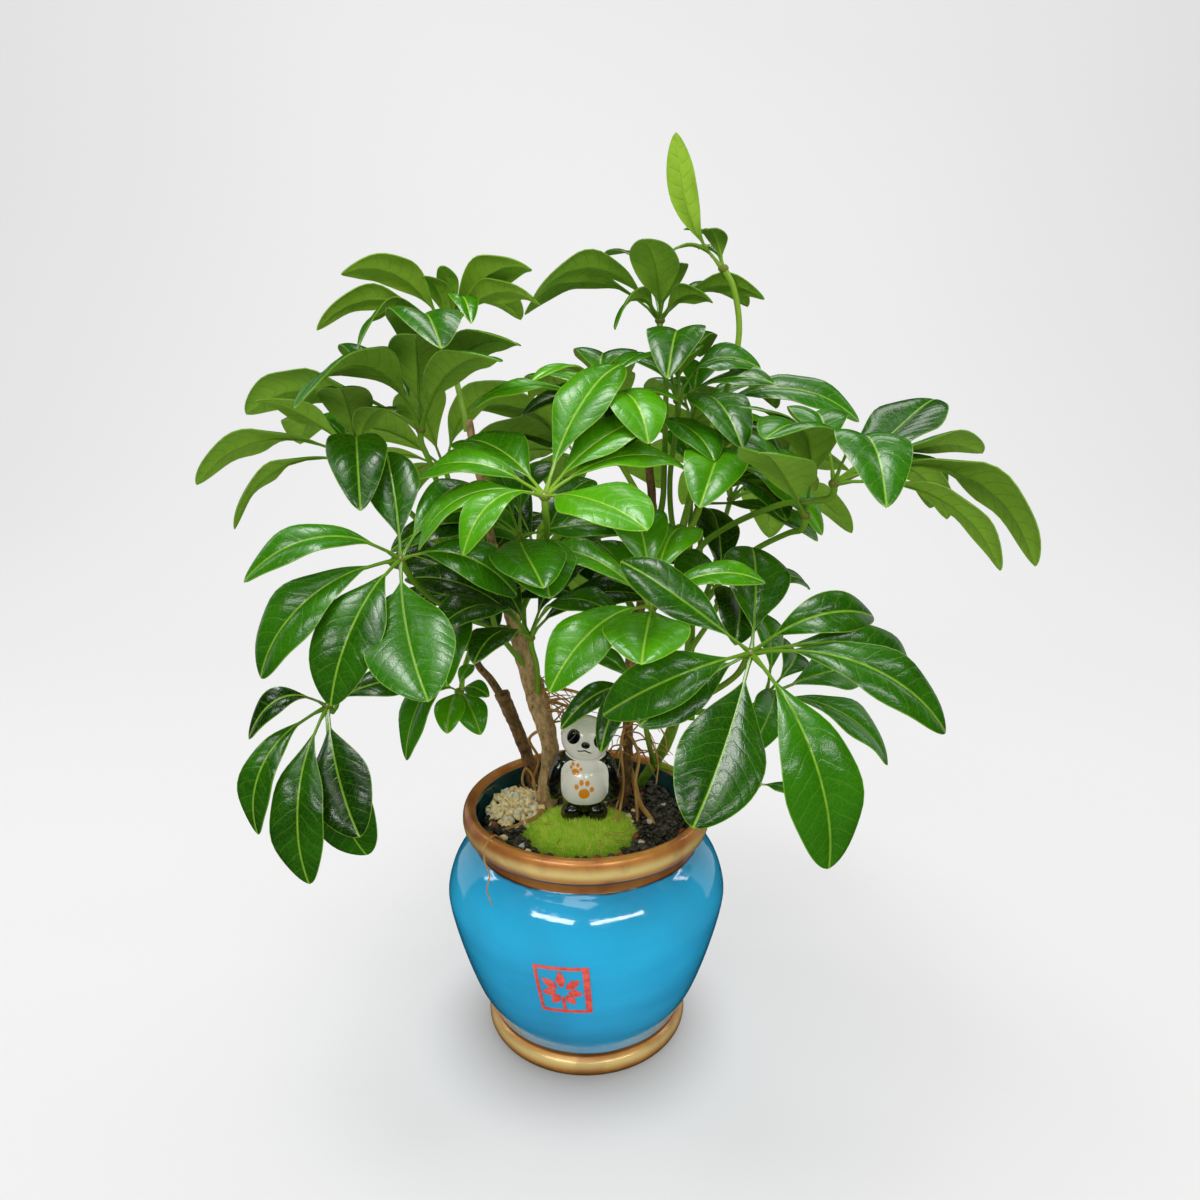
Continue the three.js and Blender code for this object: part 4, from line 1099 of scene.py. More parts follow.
def grow_stem(name, lumpiness):
    """The stem and its twigs, with lumps of bark on the stem."""
    path, radii, twigs = STEMS[name]
    thick = spread_radii(radii, STEM_STEPS + 1)
    scars = 1 + SCAR_SWELL * lumpiness * np.sin(np.linspace(0, 50, STEM_STEPS + 1)) ** 4
    stem = tube(name + "_wood", flow(path, STEM_STEPS), thick * scars, 20)
    modify(stem, "SUBSURF", levels=1, render_levels=1)
    modify(stem, "DISPLACE", texture=bark_lumps, texture_coords="LOCAL",
           strength=BARK_DEPTH * lumpiness * MM, mid_level=0.52)
    return [stem, *thin_tubes("twig", twigs, TWIG_STEPS)]


# %% [markdown]
# Fine hanging roots are what makes the stems look old. The solids hold the thick ones. Here a
# few dozen hair-thin ones are added between the trunks: each is a short walk that starts on the
# wood, wanders, and turns down under its own weight, from a seeded draw.

# %% The fine roots
ROOT_STARTS = {
    "trunk_main": [(-22, 10, 188), (-24, 7, 192), (-26, 6, 198), (-28, 7, 204), (-20, 10, 182),
                   (-23, 8, 196), (-27, 5, 209)],
    "trunk_right": [(24, 11, 186), (24, 11, 180), (26, 12, 176), (23, 12, 168), (25, 11, 190),
                    (24, 10, 194), (26, 12, 160)],
}


def fine_roots(stem_name, seed, sideways, count=3):
    draw = random.Random(seed)
    made = []
    for start in ROOT_STARTS[stem_name]:
        for _ in range(count):
            heading = Vector((sideways * draw.uniform(0.5, 1), draw.uniform(-0.5, 0.3),
                              draw.uniform(-0.1, 0.6)))
            points = [Vector(start)]
            for _ in range(draw.randint(4, 8)):
                step = heading.normalized() * draw.uniform(3.5, 6)
                points.append(points[-1] + step)
                heading += Vector((draw.uniform(-0.35, 0.35), draw.uniform(-0.35, 0.35),
                                   draw.uniform(-0.55, 0.05)))
            walk = flow(points, 20)
            thin = np.linspace(draw.uniform(0.35, 0.6), 0.18, 21)
            made.append(tube("fine_root", walk, thin, 6))
    return made


# %% Wood, roots and the green stem
SURFACE_STEPS = 40
SURFACE_ROOTS = {
    "trunk_main": [
        ([[-25, 8, 130], [-28, -6, 131.6], [-36, -13, 131.4], [-46, -19, 130.4]], [1.9, 0.8]),
        ([[-31, 26, 131], [-33, 30, 140], [-37, 31, 144], [-39, 29, 137], [-36, 26, 131]],
         [0.9, 0.7]),
        ([[-42, -36, 131], [-45, -41, 138.5], [-48, -46, 142.4], [-51, -50, 140],
          [-52, -52, 132], [-49, -56, 126], [-50, -60, 119], [-47, -64, 113]], [0.6, 0.3]),
    ],
    "trunk_right": [
        ([[24, 11, 186], [33, 4, 182], [38, 2, 172], [41, 4, 160], [40, 2, 148]], [0.8, 0.4]),
        ([[25, 11, 182], [36, 8, 186], [44, 4, 178], [46, 2, 166]], [0.7, 0.35]),
        ([[23, 11, 172], [14, 2, 160], [19, -4, 146], [16, -9, 136]], [0.7, 0.45]),
    ],
}

wood = {
    "stem_left": grow_stem("stem_left", 0.8),
    "trunk_main": [*grow_stem("trunk_main", 1), *fine_roots("trunk_main", 21, 1)],
    "trunk_right": [*grow_stem("trunk_right", 0.7), *fine_roots("trunk_right", 34, -0.4, 2),
                    *fine_roots("trunk_right", 55, 0.9, 2)],
    "stem_green": grow_stem("stem_green", 0.25),
}
for name, roots in SURFACE_ROOTS.items():
    wood[name] += thin_tubes("surface_root", roots, SURFACE_STEPS)


def bark_finish(name, light_brown, dark_brown, crack, moss_share):
    bark = Finish(name, Specular_IOR_Level=0.25)
    fissure = bark.noise(3.4, detail=6, roughness=0.72, stretch=(1.3, 1.3, 0.75))
    band = bark.noise(4.5, detail=2, stretch=(0.5, 0.5, 3))
    shade = bark.noise(22, detail=3)
    base = fissure.above(0.5, 0.2).mix(dark_brown, light_brown)
    base = (shade.above(0.56, 0.12) * moss_share).mix(base, srgb(92, 84, 40))
    base = (fissure.below(0.36, 0.05) * 0.8).mix(base, crack)
    thin_root = bark.attribute("root")
    root_tone = bark.noise(6, detail=3).mix(srgb(150, 104, 52), srgb(206, 162, 92))
    bark.feed(Base_Color=thin_root.mix(base, root_tone), Roughness=0.7 + fissure * 0.25)
    bark.bump(fissure * 0.7 + band * 0.3, 0.7)
    return bark


tan_bark = bark_finish("tan_bark", srgb(214, 182, 130), srgb(142, 108, 66), srgb(66, 44, 26), 0.4)
dark_bark = bark_finish("dark_bark", srgb(150, 116, 74), srgb(82, 58, 36), srgb(36, 24, 14), 0.6)
green_bark = bark_finish("green_bark", srgb(124, 168, 40), srgb(86, 132, 26),
                         srgb(64, 98, 20), 0.15)
finishes = {"stem_left": dark_bark, "trunk_main": tan_bark, "trunk_right": dark_bark,
            "stem_green": green_bark}
for name, pieces in wood.items():
    for k, piece in enumerate(pieces):
        is_twig = name == "stem_left" and k == 1
        mark(piece, "root", 0 if k == 0 or is_twig else 1)
    stem = join(pieces, name + "_wood")
    smooth(stem, 60)
    slot = "green_stem" if name == "stem_green" else "bark"
    dress(stem, finishes[name], slot, name)
    print(name, "faces:", len(stem.data.polygons))

# %% [markdown]
# ## The leaves
# A leaf of this plant is palmate: from the knob at the end of a long stalk some seven leaflets
# spread like fingers, each on a little stalk of its own. Every leaflet is the same blade in
# another size and curl, so the blade is modelled once, as a flat grid, and each copy is laid
# along its own arched midrib by the same few numbers that the solid model uses. Thickness
# comes from a solidify modifier, because a sheet without one has no underside and no edge.

# %% The table of leaves
# Each leaf: its knob, the compass angle that it faces, its lean, the points of its stalk, and
# its leaflets as [around, splay, length, arch, width, roll].


def spread(count, splay, length):
    """A full, even round of leaflets, each a little unlike the next."""
    waves = [math.sin(2.4 * k + splay) for k in range(count)]
    return [
        [360 * k / count + 8 * wave, splay + 6 * wave, length + 6 * wave, 0.2, 0.42]
        for k, wave in enumerate(waves)
    ]


LEAVES = {
    "leaf_front_right": (
        [72, -105, 262], -82, 50,
        [[71, -72, 240], [63, -25, 212], [54, 20, 188]],
        [[230, 85, 68, 0.1, 0.32], [165, 108, 70, 0.05, 0.46], [100, 75, 54, 0.35, 0.36],
         [60, 82, 84, 0.25, 0.28], [82, 88, 72, 0.3, 0.28], [14, 98, 92, 0.25, 0.36],
         [333, 82, 82, 0, 0.44], [287, 100, 68, 0.28, 0.36], [300, 82, 60, 0, 0.36]],
    ),
    "leaf_front_left": (
        [-81, -75, 296], -98, 42,
        [[-76, -45, 272], [-58, -15, 250], [-38, 7, 238]],
        [[295, 72, 66, 0.3, 0.28], [318, 95, 78, 0.25, 0.36], [347, 94, 72, 0.2, 0.44],
         [23, 80, 82, 0, 0.46], [82, 104, 54, 0.28, 0.42], [162, 100, 60, 0.15, 0.34],
         [197, 78, 58, 0.05, 0.44]],
    ),
    "leaf_low_left": (
        [-124, -60, 220], -105, 48,
        [[-116, -40, 236], [-95, -18, 236], [-66, 21, 224]],
        [[312, 68, 38, 0.5, 0.36], [343, 95, 66, 0.3, 0.3], [6, 97, 82, 0.22, 0.34],
         [31, 90, 68, 0.05, 0.44], [20, 108, 75, 0.22, 0.42], [124, 110, 44, 0.25, 0.42]],
    ),
    "leaf_centre": (
        [-16, -80, 325], -90, 22,
        [[-16, -66, 310], [-20, -40, 288], [-32, -15, 268], [-43, 5, 258]],
        [[252, 90, 60, 0.2, 0.44], [220, 85, 68, 0.1, 0.48], [150, 60, 76, 0.12, 0.36],
         [128, 72, 65, 0.1, 0.42], [113, 90, 70, 0.15, 0.34], [39, 75, 68, 0.08, 0.52],
         [314, 100, 46, 0.28, 0.42], [281, 108, 60, 0.22, 0.34]],
    ),
    "leaf_middle_front": (
        [31, -85, 277], -95, 25,
        [[31, -65, 260], [29, -30, 240], [26, 14, 222]],
        [[320, 94, 63, 0.2, 0.44], [352, 76, 58, 0.05, 0.62], [210, 90, 58, 0, 0.4],
         [240, 84, 64, 0.15, 0.3], [192, 84, 66, 0.2, 0.42], [166, 86, 62, 0.2, 0.44],
         [95, 75, 50, 0.2, 0.36]],
    ),
    "leaf_far_left": (
        [-115, -5, 332], -90, 0,
        [[-95, -5, 310], [-79, -2, 292], [-62, 2, 275], [-45, 5, 262]],
        [[281, 95, 80, 0.2, 0.32, -30], [304, 112, 70, 0.2, 0.32, -30],
         [306, 55, 58, 0.08, 0.44, -15], [4, 44, 54, 0.2, 0.5], [44, 52, 46, 0.2, 0.44],
         [14, 100, 70, 0.3, 0.4], [220, 85, 76, 0.22, 0.44]],
    ),
    "leaf_high_left": (
        [-83, -5, 348], 90, 5,
        [[-80, -5, 334], [-73, 0, 311], [-60, 4, 288], [-48, 5, 274]],
        [[80, 83, 96, 0.15, 0.34, -30], [148, 82, 78, 0.3, 0.5, -20], [41, 60, 84, 0.2, 0.44],
         [190, 46, 62, 0.2, 0.44], [198, 70, 86, 0.4, 0.4], [226, 63, 85, 0.18, 0.3, 15],
         [216, 69, 86, 0.12, 0.3, 10]],
    ),
    "leaf_top_left": (
        [-72, 25, 394], 90, 10,
        [[-69, 22, 376], [-62, 16, 346]],
        [[141, 72, 68, 0.2, 0.34, -25], [110, 85, 66, 0.25, 0.3, -25],
         [140, 102, 58, 0.28, 0.34, -20], [161, 48, 36, 0.2, 0.34], [185, 46, 40, 0.2, 0.28],
         [222, 72, 74, 0.15, 0.3, 20], [231, 82, 66, 0.18, 0.28, 25], [204, 90, 44, 0.35, 0.32],
         [330, 70, 70, 0.2, 0.34]],
    ),
    "leaf_top_middle": (
        [39, 20, 402], 90, 8,
        [[42, 20, 382], [42, 12, 328], [41, 8, 308], [37, 8, 292]],
        [[98, 87, 70, 0.25, 0.26, -20], [123, 86, 75, 0.25, 0.28, -30],
         [144, 102, 42, 0.3, 0.42, -35], [168, 60, 58, 0.05, 0.42], [43, 44, 58, 0.22, 0.3],
         [201, 50, 36, 0.2, 0.4], [241, 80, 54, 0.2, 0.3, 25], [222, 82, 36, 0.2, 0.42, 30],
         [310, 75, 70, 0.2, 0.34]],
    ),
    "leaf_far_right": (
        [114, -60, 328], -60, 5,
        [[93, -45, 316], [64, -15, 294], [53, 5, 272]],
        [[101, 64, 84, 0.02, 0.44], [76, 78, 78, 0.1, 0.36, 30], [38, 104, 92, 0.25, 0.34, 35],
         [32, 108, 80, 0.18, 0.34, 35], [333, 84, 66, 0.35, 0.46], [96, 86, 80, 0.24, 0.4],
         [76, 96, 66, 0.24, 0.34, 20], [150, 75, 70, 0.24, 0.42]],
    ),
    "leaf_right_second": (
        [105, -46, 311], -60, 5,
        [[100, -33, 300], [86, -18, 288], [72, -3, 268], [57, 9, 240]],
        [[298, 58, 76, 0.05, 0.46], [297, 52, 72, 0.3, 0.46], [258, 40, 64, 0.24, 0.3],
         [212, 62, 66, 0.2, 0.4]],
    ),
    "leaf_under_centre": (
        [-31, -40, 300], -90, 25,
        [[-42, -20, 289], [-49, 5, 280]],
        [[32, 77, 66, 0.08, 0.5], [89, 82, 56, 0.05, 0.44], [10, 72, 76, 0.05, 0.44],
         [293, 66, 48, 0.2, 0.44], [209, 88, 52, 0.2, 0.44], [174, 90, 62, 0.2, 0.44],
         [293, 76, 62, 0.2, 0.38]],
    ),
    "leaf_crown_left": (
        [8, -25, 361], -90, 8,
        [[14, -16, 340], [26, -4, 318], [36, 8, 300]],
        [[275, 90, 62, 0.15, 0.5], [224, 92, 52, 0.25, 0.36], [304, 66, 40, 0.28, 0.44],
         [22, 83, 56, 0.22, 0.5], [174, 92, 74, 0.28, 0.46], [105, 94, 46, 0.15, 0.46]],
    ),
    "leaf_crown_middle": (
        [48, 5, 362], -90, 0,
        [[47, 7, 344], [45, 10, 320], [47, 10, 296], [53, 5, 276]],
        [[81, 70, 44, 0.28, 0.44, -40], [67, 78, 50, 0.12, 0.34, -30], [356, 63, 48, 0.28, 0.5],
         [348, 80, 66, 0.4, 0.42], [316, 67, 50, 0.28, 0.4], [165, 70, 72, 0.28, 0.44],
         [215, 62, 50, 0.28, 0.44]],
    ),
    "leaf_crown_right": (
        [56, 18, 350], -90, 10,
        [[57, 19, 334], [57, 19, 312], [57, 14, 286], [54, 6, 266]],
        [[75, 84, 86, 0.18, 0.28, -25], [47, 88, 52, 0.12, 0.36], [12, 83, 78, 0.22, 0.36],
         [130, 90, 70, 0.22, 0.36], [195, 90, 68, 0.22, 0.36], [171, 84, 84, 0.22, 0.36]],
    ),
    "leaf_right_inner": (
        [66, -8, 332], -60, 15,
        [[62, -7, 317], [58, -2, 302], [52, 5, 288]],
        [[27, 100, 66, 0.12, 0.42], [110, 94, 74, 0.2, 0.3], [132, 92, 72, 0.2, 0.4],
         [319, 86, 74, 0.2, 0.4], [80, 98, 66, 0.2, 0.4]],
    ),
    "leaf_right_lower": (
        [62, 20, 306], -40, 20,
        [[63, 20, 290], [62, 17, 268], [56, 8, 246]],
        [[327, 68, 70, 0.2, 0.4], [10, 80, 68, 0.1, 0.4], [118, 82, 68, 0.2, 0.4],
         [70, 80, 72, 0.2, 0.4], [160, 70, 60, 0.2, 0.4]],
    ),
    "leaf_inner_high": (
        [28, -4, 352], -60, 20,
        [[31, 2, 338]],
        [[359, 80, 66, 0.1, 0.4], [290, 80, 60, 0.2, 0.42], [250, 80, 60, 0.2, 0.42],
         [320, 76, 62, 0.2, 0.42]],
    ),
    "leaf_inner_left": (
        [-28, -25, 244], -100, 20,
        [[-26, -14, 226], [-27, 8, 200]],
        [[330, 55, 70, 0.2, 0.4], [225, 66, 54, 0.2, 0.4], [150, 62, 66, 0.2, 0.4],
         [351, 62, 66, 0.12, 0.3], [62, 58, 70, 0.2, 0.3], [270, 60, 70, 0.2, 0.4],
         [100, 70, 66, 0.2, 0.4]],
    ),
    "leaf_inner_right": (
        [70, -15, 261], -50, 25,
        [[66, -5, 246], [58, 10, 226]],
        [[285, 60, 70, 0.2, 0.4], [77, 82, 58, 0.22, 0.3], [128, 90, 64, 0.2, 0.4],
         [240, 70, 66, 0.2, 0.4], [317, 72, 66, 0.2, 0.4], [160, 76, 62, 0.2, 0.4]],
    ),
    "leaf_low_right": (
        [92, -40, 218], -30, 40,
        [[83, -15, 200], [65, 10, 189], [53, 20, 184]],
        [[18, 78, 70, 0.15, 0.44], [72, 80, 70, 0.2, 0.38], [98, 94, 64, 0.2, 0.34],
         [135, 88, 66, 0.2, 0.4], [283, 84, 62, 0.2, 0.3]],
    ),
    "leaf_left_inner": (
        [-52, -22, 263], -130, 50,
        [[-47, -14, 246], [-38, -4, 228], [-33, 9, 216]],
        [[46, 64, 70, 0.12, 0.42], [347, 102, 92, 0.08, 0.26]],
    ),
    "leaf_small_front": (
        [27, -70, 232], -110, 40,
        [[30, -45, 211], [35, -2, 176], [40.5, 33, 147]],
        [[320, 70, 44, 0.25, 0.3], [349, 68, 44, 0.25, 0.3], [58, 64, 42, 0.25, 0.34],
         [170, 78, 34, 0.25, 0.34], [243, 80, 32, 0.25, 0.34]],
    ),
    "leaf_left_sprout": (
        [-70, 0, 205], -100, 30,
        [[-69, 10, 212], [-66, 24, 222]],
        [[6, 79, 33, 0.2, 0.5], [35, 80, 34, 0.2, 0.5], [71, 72, 22, 0.2, 0.5],
         [166, 77, 18, 0.2, 0.5], [285, 75, 20, 0.2, 0.5]],
    ),
    "leaf_right_sprout": (
        [97, 0, 149], 0, 30,
        [[86, 3, 144], [66, 10, 147], [50, 24, 147], [40, 33, 146]],
        [[330, 70, 24, 0.1, 0.8], [120, 60, 18, 0.2, 0.5]],
    ),
    "leaf_whip": (
        [69, 5, 426], -90, 0,
        [[74, 5, 418], [78, 5, 398], [76, 5, 380], [70, 4, 360], [62, 2, 340], [57, 6, 318],
         [51, 5, 292]],
        [[287, 22, 65, -0.14, 0.22, -60], [290, 60, 30, 0.2, 0.4], [330, 50, 26, 0.2, 0.5],
         [250, 45, 28, 0.2, 0.4], [210, 60, 24, 0.2, 0.4]],
    ),
    "leaf_back_left": (
        [-85, 75, 318], 125, 35,
        [[-78, 55, 298], [-66, 28, 288], [-52, 6, 292]],
        spread(7, 78, 76),
    ),
    "leaf_back_middle": (
        [-5, 95, 320], 95, 35,
        [[-4, 72, 302], [10, 40, 276], [28, 14, 244]],
        spread(7, 76, 80),
    ),
    "leaf_back_right": (
        [88, 80, 300], 55, 35,
        [[80, 60, 280], [70, 32, 256], [57, 10, 236]],
        spread(7, 76, 78),
    ),
    "leaf_back_low": (
        [-40, 110, 246], 110, 50,
        [[-40, 82, 236], [-36, 40, 218], [-32, 10, 212]],
        spread(7, 80, 78),
    ),
    "leaf_inner_middle": (
        [-26, 25, 272], -90, 30,
        [[-31, 18, 257], [-39, 6, 240]],
        spread(7, 74, 66),
    ),
    "leaf_inner_far_left": (
        [-62, 30, 250], -110, 35,
        [[-53, 20, 240], [-36, 8, 229]],
        spread(7, 76, 62),
    ),
}

# Painted light and shade: leaves inside the crown or low down are drawn darker than most,
# as if in shade, and the front left one lighter, as if in light; 0 is the darkest and 1 the
# lightest.
PAINTED_LEAF_SHADES = {
    "leaf_low_left": 0.05, "leaf_front_right": 0.3, "leaf_front_left": 0.7, "leaf_whip": 0,
    "leaf_inner_left": 0.1, "leaf_inner_right": 0.1, "leaf_inner_middle": 0.1,
    "leaf_inner_far_left": 0.1, "leaf_inner_high": 0.2, "leaf_back_low": 0.2,
}

# %% How a leaflet lies
STALK = 0.15
FOLD = math.radians(10)
BENDS = [
    (trim, size * math.cos(way * math.pi / 4), size * math.sin(way * math.pi / 4))
    for trim in (1, 0.85, 0.7, 0.55)
    for size in (0, 4, 8, 12, 16, 20)
    for way in range(8 if size else 1)
]


def unit(vector):
    return vector / np.linalg.norm(vector)


def leaf_frame(faces, lean):
    """The leaf's axis, and the downhill and sideways directions of its plane."""
    faces, lean = math.radians(faces), math.radians(lean)
    level = np.array([math.cos(faces), math.sin(faces), 0])
    up = np.array([0, 0, 1])
    axis = level * math.sin(lean) + up * math.cos(lean)
    down = level * math.cos(lean) - up * math.sin(lean)
    return axis, down, np.cross(up, level)


def chord_of(leaf, leaflet, bend):
    """The straight line from the knob to the leaflet's tip: its direction and its length."""
    axis, down, side = leaf_frame(leaf[1], leaf[2])
    trim, more_splay, more_around = bend
    turn = math.radians(leaflet[0] + more_around)
    splay = math.radians(leaflet[1] + more_splay)
    outward = down * math.cos(turn) + side * math.sin(turn)
    return axis * math.cos(splay) + outward * math.sin(splay), leaflet[2] * trim


def bend_of(node, leaf, leaflet):
    """How the solid model bent this leaflet clear of its neighbours, or None if it left it out."""
    points = np.array([vertex.co for vertex in frame["nodes"][node].data.vertices]) / MM
    for bend in BENDS:
        chord, length = chord_of(leaf, leaflet, bend)
        tip = np.array(leaf[0]) + chord * length
        if np.linalg.norm(points - tip, axis=1).min() < 0.05:
            return bend
    return None


# %% One flat blade
BLADE_ACROSS = 14
BLADE_ALONG = 26
BLADE_THICK = 0.5
THINNEST = 0.55
BOW = 0.035
DROOP = 0.035
WAVE_HEIGHT = 1.1
WAVE_STRETCH = 5.5
WAVE_APART = 1.3
VEIN_GAP = 6.4
VEIN_SLANT = 0.45
VEIN_CURVE = 0.024

deselect()
bpy.ops.mesh.primitive_grid_add(x_subdivisions=BLADE_ACROSS, y_subdivisions=BLADE_ALONG, size=1)
blade = bpy.context.object
blade.name = "blade"
flat = np.array([vertex.co for vertex in blade.data.vertices])
blade_s = -2 * flat[:, 0]
blade_u = 0.5 - 0.5 * np.cos(math.pi * (flat[:, 1] + 0.5))
print("blade faces:", len(blade.data.polygons))


def blade_width(u):
    """Half a blade's width at share u of it, where 1 is its widest: wedge-like at the stalk and
    blunt at the tip."""
    return np.sin(math.pi * np.clip(u, 0, 1) ** 1.34) ** (0.95 - 0.34 * u)


def midrib(leaf, leaflet, bend, t, u):
    """Points along the midrib, with the directions of its edge and its face."""
    chord, length = chord_of(leaf, leaflet, bend)
    arch, roll = leaflet[3], math.radians(leaflet[5] if len(leaflet) > 5 else 0)
    axis = leaf_frame(leaf[1], leaf[2])[0]
    rise = unit(axis - chord * axis.dot(chord))
    across = np.cross(rise, chord)
    t = np.asarray(t)[:, None]
    bowed = rise * arch + across * BOW * math.sin(leaflet[0] + 2 * leaflet[2])
    drooped = rise * DROOP * np.clip((t - 0.74) / 0.26, 0, 1) ** 2
    points = np.array(leaf[0]) + length * (chord * t + bowed * 4 * t * (1 - t) - drooped)
    run = chord + bowed * 4 * (1 - 2 * t)
    run /= np.linalg.norm(run, axis=1)[:, None]
    twist = roll * np.clip(2 * np.asarray(u), 0, 1)[:, None]
    edge = across * np.cos(twist) - np.cross(run, across) * np.sin(twist)
    return points, edge, np.cross(run, edge)


def lay_blade(leaf, leaflet, bend, draw, shade):
    """A copy of the blade, laid along its midrib, with the measures that its finish reads."""
    length = leaflet[2] * bend[0]
    t = STALK + (1 - STALK) * blade_u
    points, edge, face = midrib(leaf, leaflet, bend, t, blade_u)
    widest = length * leaflet[4] / 2
    half = np.maximum(blade_width(blade_u) * widest, THINNEST)
    side = np.abs(blade_s)
    phase = draw.uniform(0, 6.3)
    run = blade_u * length / WAVE_STRETCH + phase + WAVE_APART * np.sign(blade_s)
    wave = np.sin(run) * side ** 2
    bulge = 0.36 * side ** 0.8 - 0.28 * side ** 2.6
    crown = half * bulge + WAVE_HEIGHT * wave * np.sin(math.pi * blade_u)
    aside = half * blade_s
    places = points + edge * (aside * math.cos(FOLD))[:, None] + face * crown[:, None]
    copy = blade.copy()
    copy.data = blade.data.copy()
    copy.data.vertices.foreach_set("co", (places * MM).ravel())
    along = blade_u * (1 - STALK) * length
    slanted = along - VEIN_SLANT * np.abs(aside) - VEIN_CURVE * aside ** 2
    veins = slanted / VEIN_GAP + draw.random()
    marks = {
        "aside": np.abs(aside),
        "inset": np.minimum(half - np.abs(aside), (1 - blade_u) * length * 0.5),
        "vein": veins + 0.5 * (blade_s > 0),
        # Half a random tone and half the leaf's painted light and shade.
        "tone": 0.5 * draw.random() + 0.5 * shade,
        "upper": 1,
        "stalk": 0,
    }
    for name, value in marks.items():
        mark(copy, name, value)
    bpy.context.collection.objects.link(copy)
    return copy


# %% The stalks and the knob
RIB_STATIONS = [0, 0.04, 0.09, STALK, 0.22, 0.34, 0.48, 0.62, 0.76, 0.88, 0.96]
RIB_RADII = [1.35, 1.2, 0.8, 0.75, 0.72, 0.66, 0.58, 0.48, 0.38, 0.28, 0.18]
PETIOLE = 1.6
NECK_LENGTH = 6
HANDLE_STEPS = 40
ON_STALK = 1
ON_KNOB = 2


def lay_rib(leaf, leaflet, bend):
    """The leaflet's own stalk, which runs on under its blade as the rib."""
    t = np.array(RIB_STATIONS)
    points, _, face = midrib(leaf, leaflet, bend, t, (t - STALK) / (1 - STALK))
    radii = np.array(RIB_RADII) * (0.6 + 0.4 * leaflet[2] * bend[0] / 70)
    sunk = np.where(t >= STALK, 0.55, 0.2)[:, None]
    return tube("rib", points - face * radii[:, None] * sunk, radii, 6)


def lay_handle(leaf):
    """The long stalk, thicker where it leaves its stem, and the knob at its end."""
    axis = leaf_frame(leaf[1], leaf[2])[0]
    hub = np.array(leaf[0])
    neck = hub - axis * NECK_LENGTH
    turns_in = np.linalg.norm(neck - np.array(leaf[3][0])) > NECK_LENGTH
    path = flow([*leaf[3][::-1], *([neck] if turns_in else []), hub], HANDLE_STEPS)
    foot_swell, hub_swell, taper = (
        np.linspace(start, end, HANDLE_STEPS + 1) for start, end in ((0, 12), (9, 0), (1.02, 0.86))
    )
    swell = 1 + 0.45 * np.exp(-foot_swell) + 0.25 * np.exp(-hub_swell)
    handle = tube("handle", path, PETIOLE * taper * swell, 10)
    deselect()
    bpy.ops.mesh.primitive_uv_sphere_add(
        segments=12, ring_count=8, radius=MM, scale=(2.7, 2.7, 2.2), location=hub * MM
    )
    knob = bpy.context.object
    settle(knob)
    return handle, knob


def mark_stalk(piece, value):
    """Marks a piece as stalk, so that the leaf's finish paints it as such."""
    for name, number in (("stalk", value), ("upper", 1), ("tone", 0.5)):
        mark(piece, name, number)
    return piece


# %% A whole leaf
def grow_leaf(node, seed):
    """All blades, ribs and stalks of one leaf, as one piece."""
    leaf = LEAVES[node]
    draw = random.Random(seed)
    grown = [(leaflet, bend_of(node, leaf, leaflet)) for leaflet in leaf[4]]
    grown = [(leaflet, bend) for leaflet, bend in grown if bend]
    shade = PAINTED_LEAF_SHADES.get(node, 0.5)
    blades = join([lay_blade(leaf, *pair, draw, shade) for pair in grown], "blades")
    tops = len(blades.data.vertices)
    modify(blades, "SOLIDIFY", thickness=BLADE_THICK * MM, offset=-1)
    mark(blades, "upper", np.arange(len(blades.data.vertices)) < tops)
    handle, knob = lay_handle(leaf)
    stalks = [mark_stalk(handle, ON_STALK), mark_stalk(knob, ON_KNOB)]
    stalks += [mark_stalk(lay_rib(leaf, *pair), ON_STALK) for pair in grown]
    return join([blades, *stalks], node.replace("leaf", "foliage")), len(grown)


# %% [markdown]
# The upper side is a deep glossy green with a waxy skin, and it is quilted: the blade bulges
# between its side veins. The veins, the midrib and the thin rolled margin are yellow-green. The
# underside is matt olive. All of that follows each blade's own run, so the finish reads the
# measures that were stored with the blade: how far a point is from the midrib and from the
# margin, and where it lies between two veins.


# %% The leaf's finish
QUILT_DEPTH = 0.28


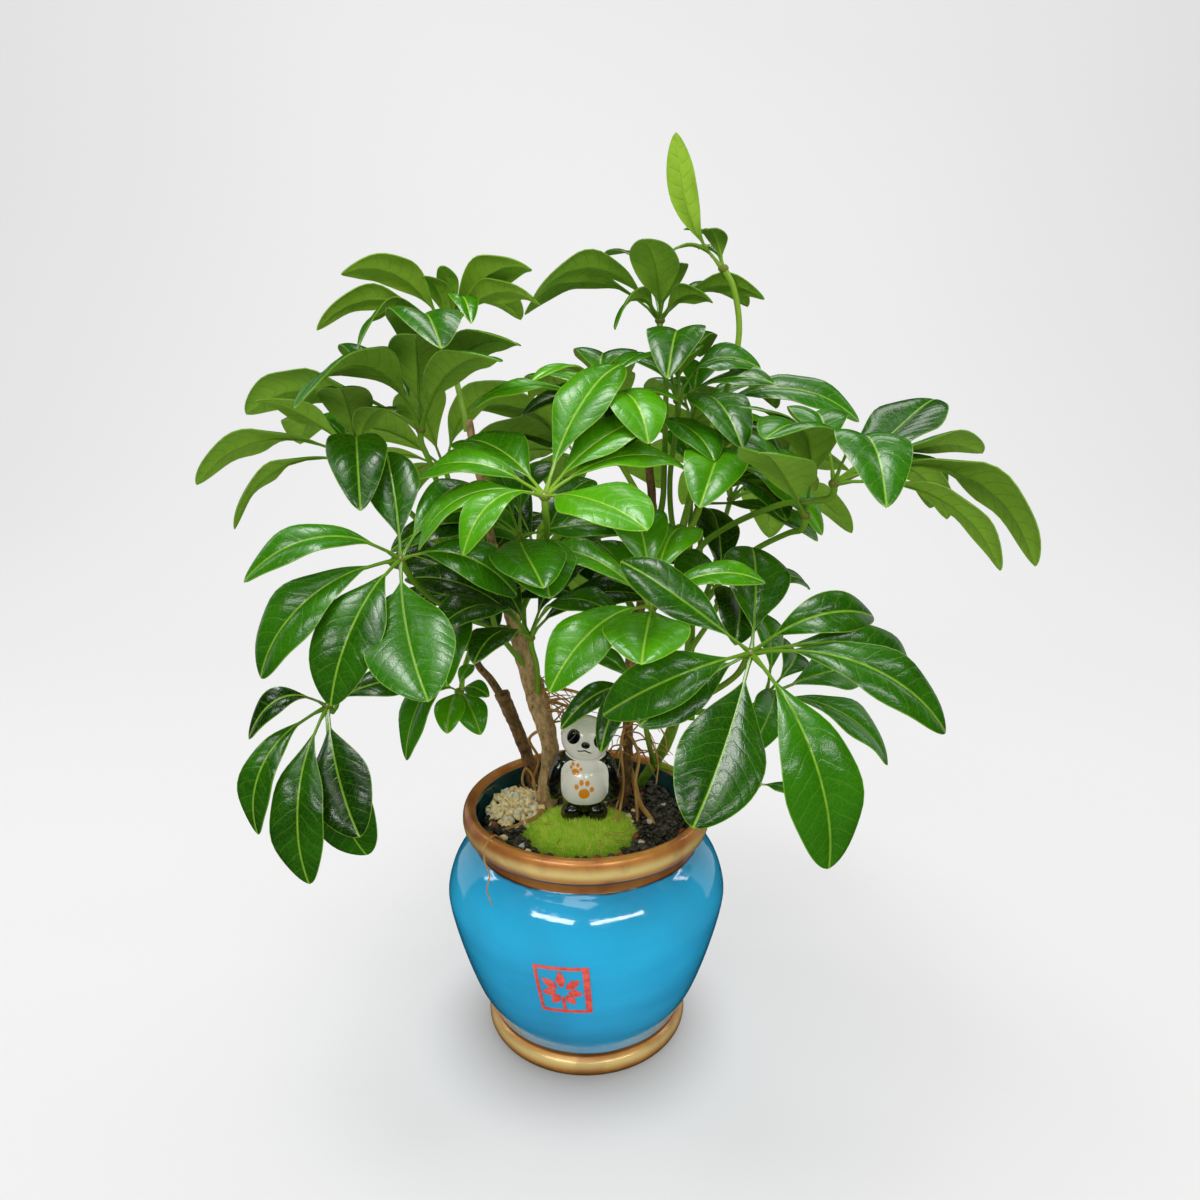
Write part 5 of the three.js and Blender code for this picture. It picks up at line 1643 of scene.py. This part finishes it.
def leaf_finish(name, deep, light, vein_green, under_green, stalk_green):
    leaf = Finish(name, Coat_Roughness=0.1, Specular_IOR_Level=0.42)
    aside, inset = leaf.attribute("aside"), leaf.attribute("inset")
    upper, tone, stalk = leaf.attribute("upper"), leaf.attribute("tone"), leaf.attribute("stalk")
    stray = (leaf.noise(9, detail=2) - 0.5) * 0.55
    place = (leaf.attribute("vein") + stray).maths("FRACT")
    from_vein = (0.5 - abs(place - 0.5)) * VEIN_GAP
    quilt = 1 - (place * 2 - 1) ** 2
    cloud = leaf.noise(24, detail=2)
    fleck = leaf.noise(3.2, detail=4, roughness=0.6)
    net = leaf.net(2.4)

    swell = leaf.noise(12, detail=2)
    vein_line = from_vein.below(0.22, 0.22) * inset.above(1.6, 1.2)
    mid_line = aside.below(0.45, 0.3)
    margin_line = inset.below(0.35, 0.2)
    # The tone carries each leaf's painted light and shade as well as its random tone.
    blade_green = (tone * 0.62 + cloud * 0.38).above(0.46, 0.3).mix(deep, light)
    blade_green = (fleck.above(0.62, 0.14) * 0.3).mix(blade_green, light)
    thread = net.below(0.05, 0.04) * 0.06
    lines = any_of([vein_line * 0.14, thread, mid_line * 0.75, margin_line * 0.5])
    top_green = lines.mix(blade_green, vein_green)
    below_green = (fleck * 0.5 + cloud * 0.5).mix(under_green, vein_green)
    below_green = (vein_line * 0.28).mix(below_green, deep)
    # Painted shade: the undersides of the leaves drawn darkest are darkened further.
    below_green = (tone.below(0.26, 0.22) * 0.6).mix(below_green, deep)
    skin = upper.mix(below_green, top_green)

    brown = stalk.above((ON_STALK + ON_KNOB) / 2, 0.1) * 0.55 + fleck.above(0.64, 0.06) * 0.3
    handle = brown.mix(stalk_green, srgb(112, 78, 40))
    is_stalk = stalk.above(ON_STALK / 2, 0.1)
    leaf.feed(
        Base_Color=is_stalk.mix(skin, handle),
        Roughness=upper * (0.19 + fleck * 0.1) + (1 - upper) * 0.95,
        Coat_Weight=upper * (0.12 - vein_line * 0.06),
    )
    ridges = quilt ** 0.7 * 0.42 + swell * 0.26 + net.above(0.08, 0.08) * 0.1 + fleck * 0.04
    leaf.bump(ridges * (1 - is_stalk * 0.9), QUILT_DEPTH)
    return leaf


old_leaf = leaf_finish("deep_green_leaf", srgb(7, 42, 1), srgb(50, 122, 2),
                       srgb(146, 192, 56), srgb(98, 144, 0), srgb(104, 148, 34))
young_leaf = leaf_finish("young_green_leaf", srgb(24, 92, 1), srgb(84, 166, 4),
                         srgb(166, 210, 66), srgb(126, 164, 8), srgb(138, 180, 50))
finishes = {"leaf": old_leaf, "young_leaf": young_leaf}
slots = {part["node"]: part["material_slot"] for part in frame["record"]["subparts"]}

# %% All the leaves
for seed, node in enumerate(LEAVES):
    leaf, count = grow_leaf(node, seed)
    smooth(leaf, 45)
    dress(leaf, finishes[slots[node]], slots[node], node)
    print(node, "leaflets:", count, "of", len(LEAVES[node][4]), "faces:", len(leaf.data.polygons))
bpy.data.objects.remove(blade)
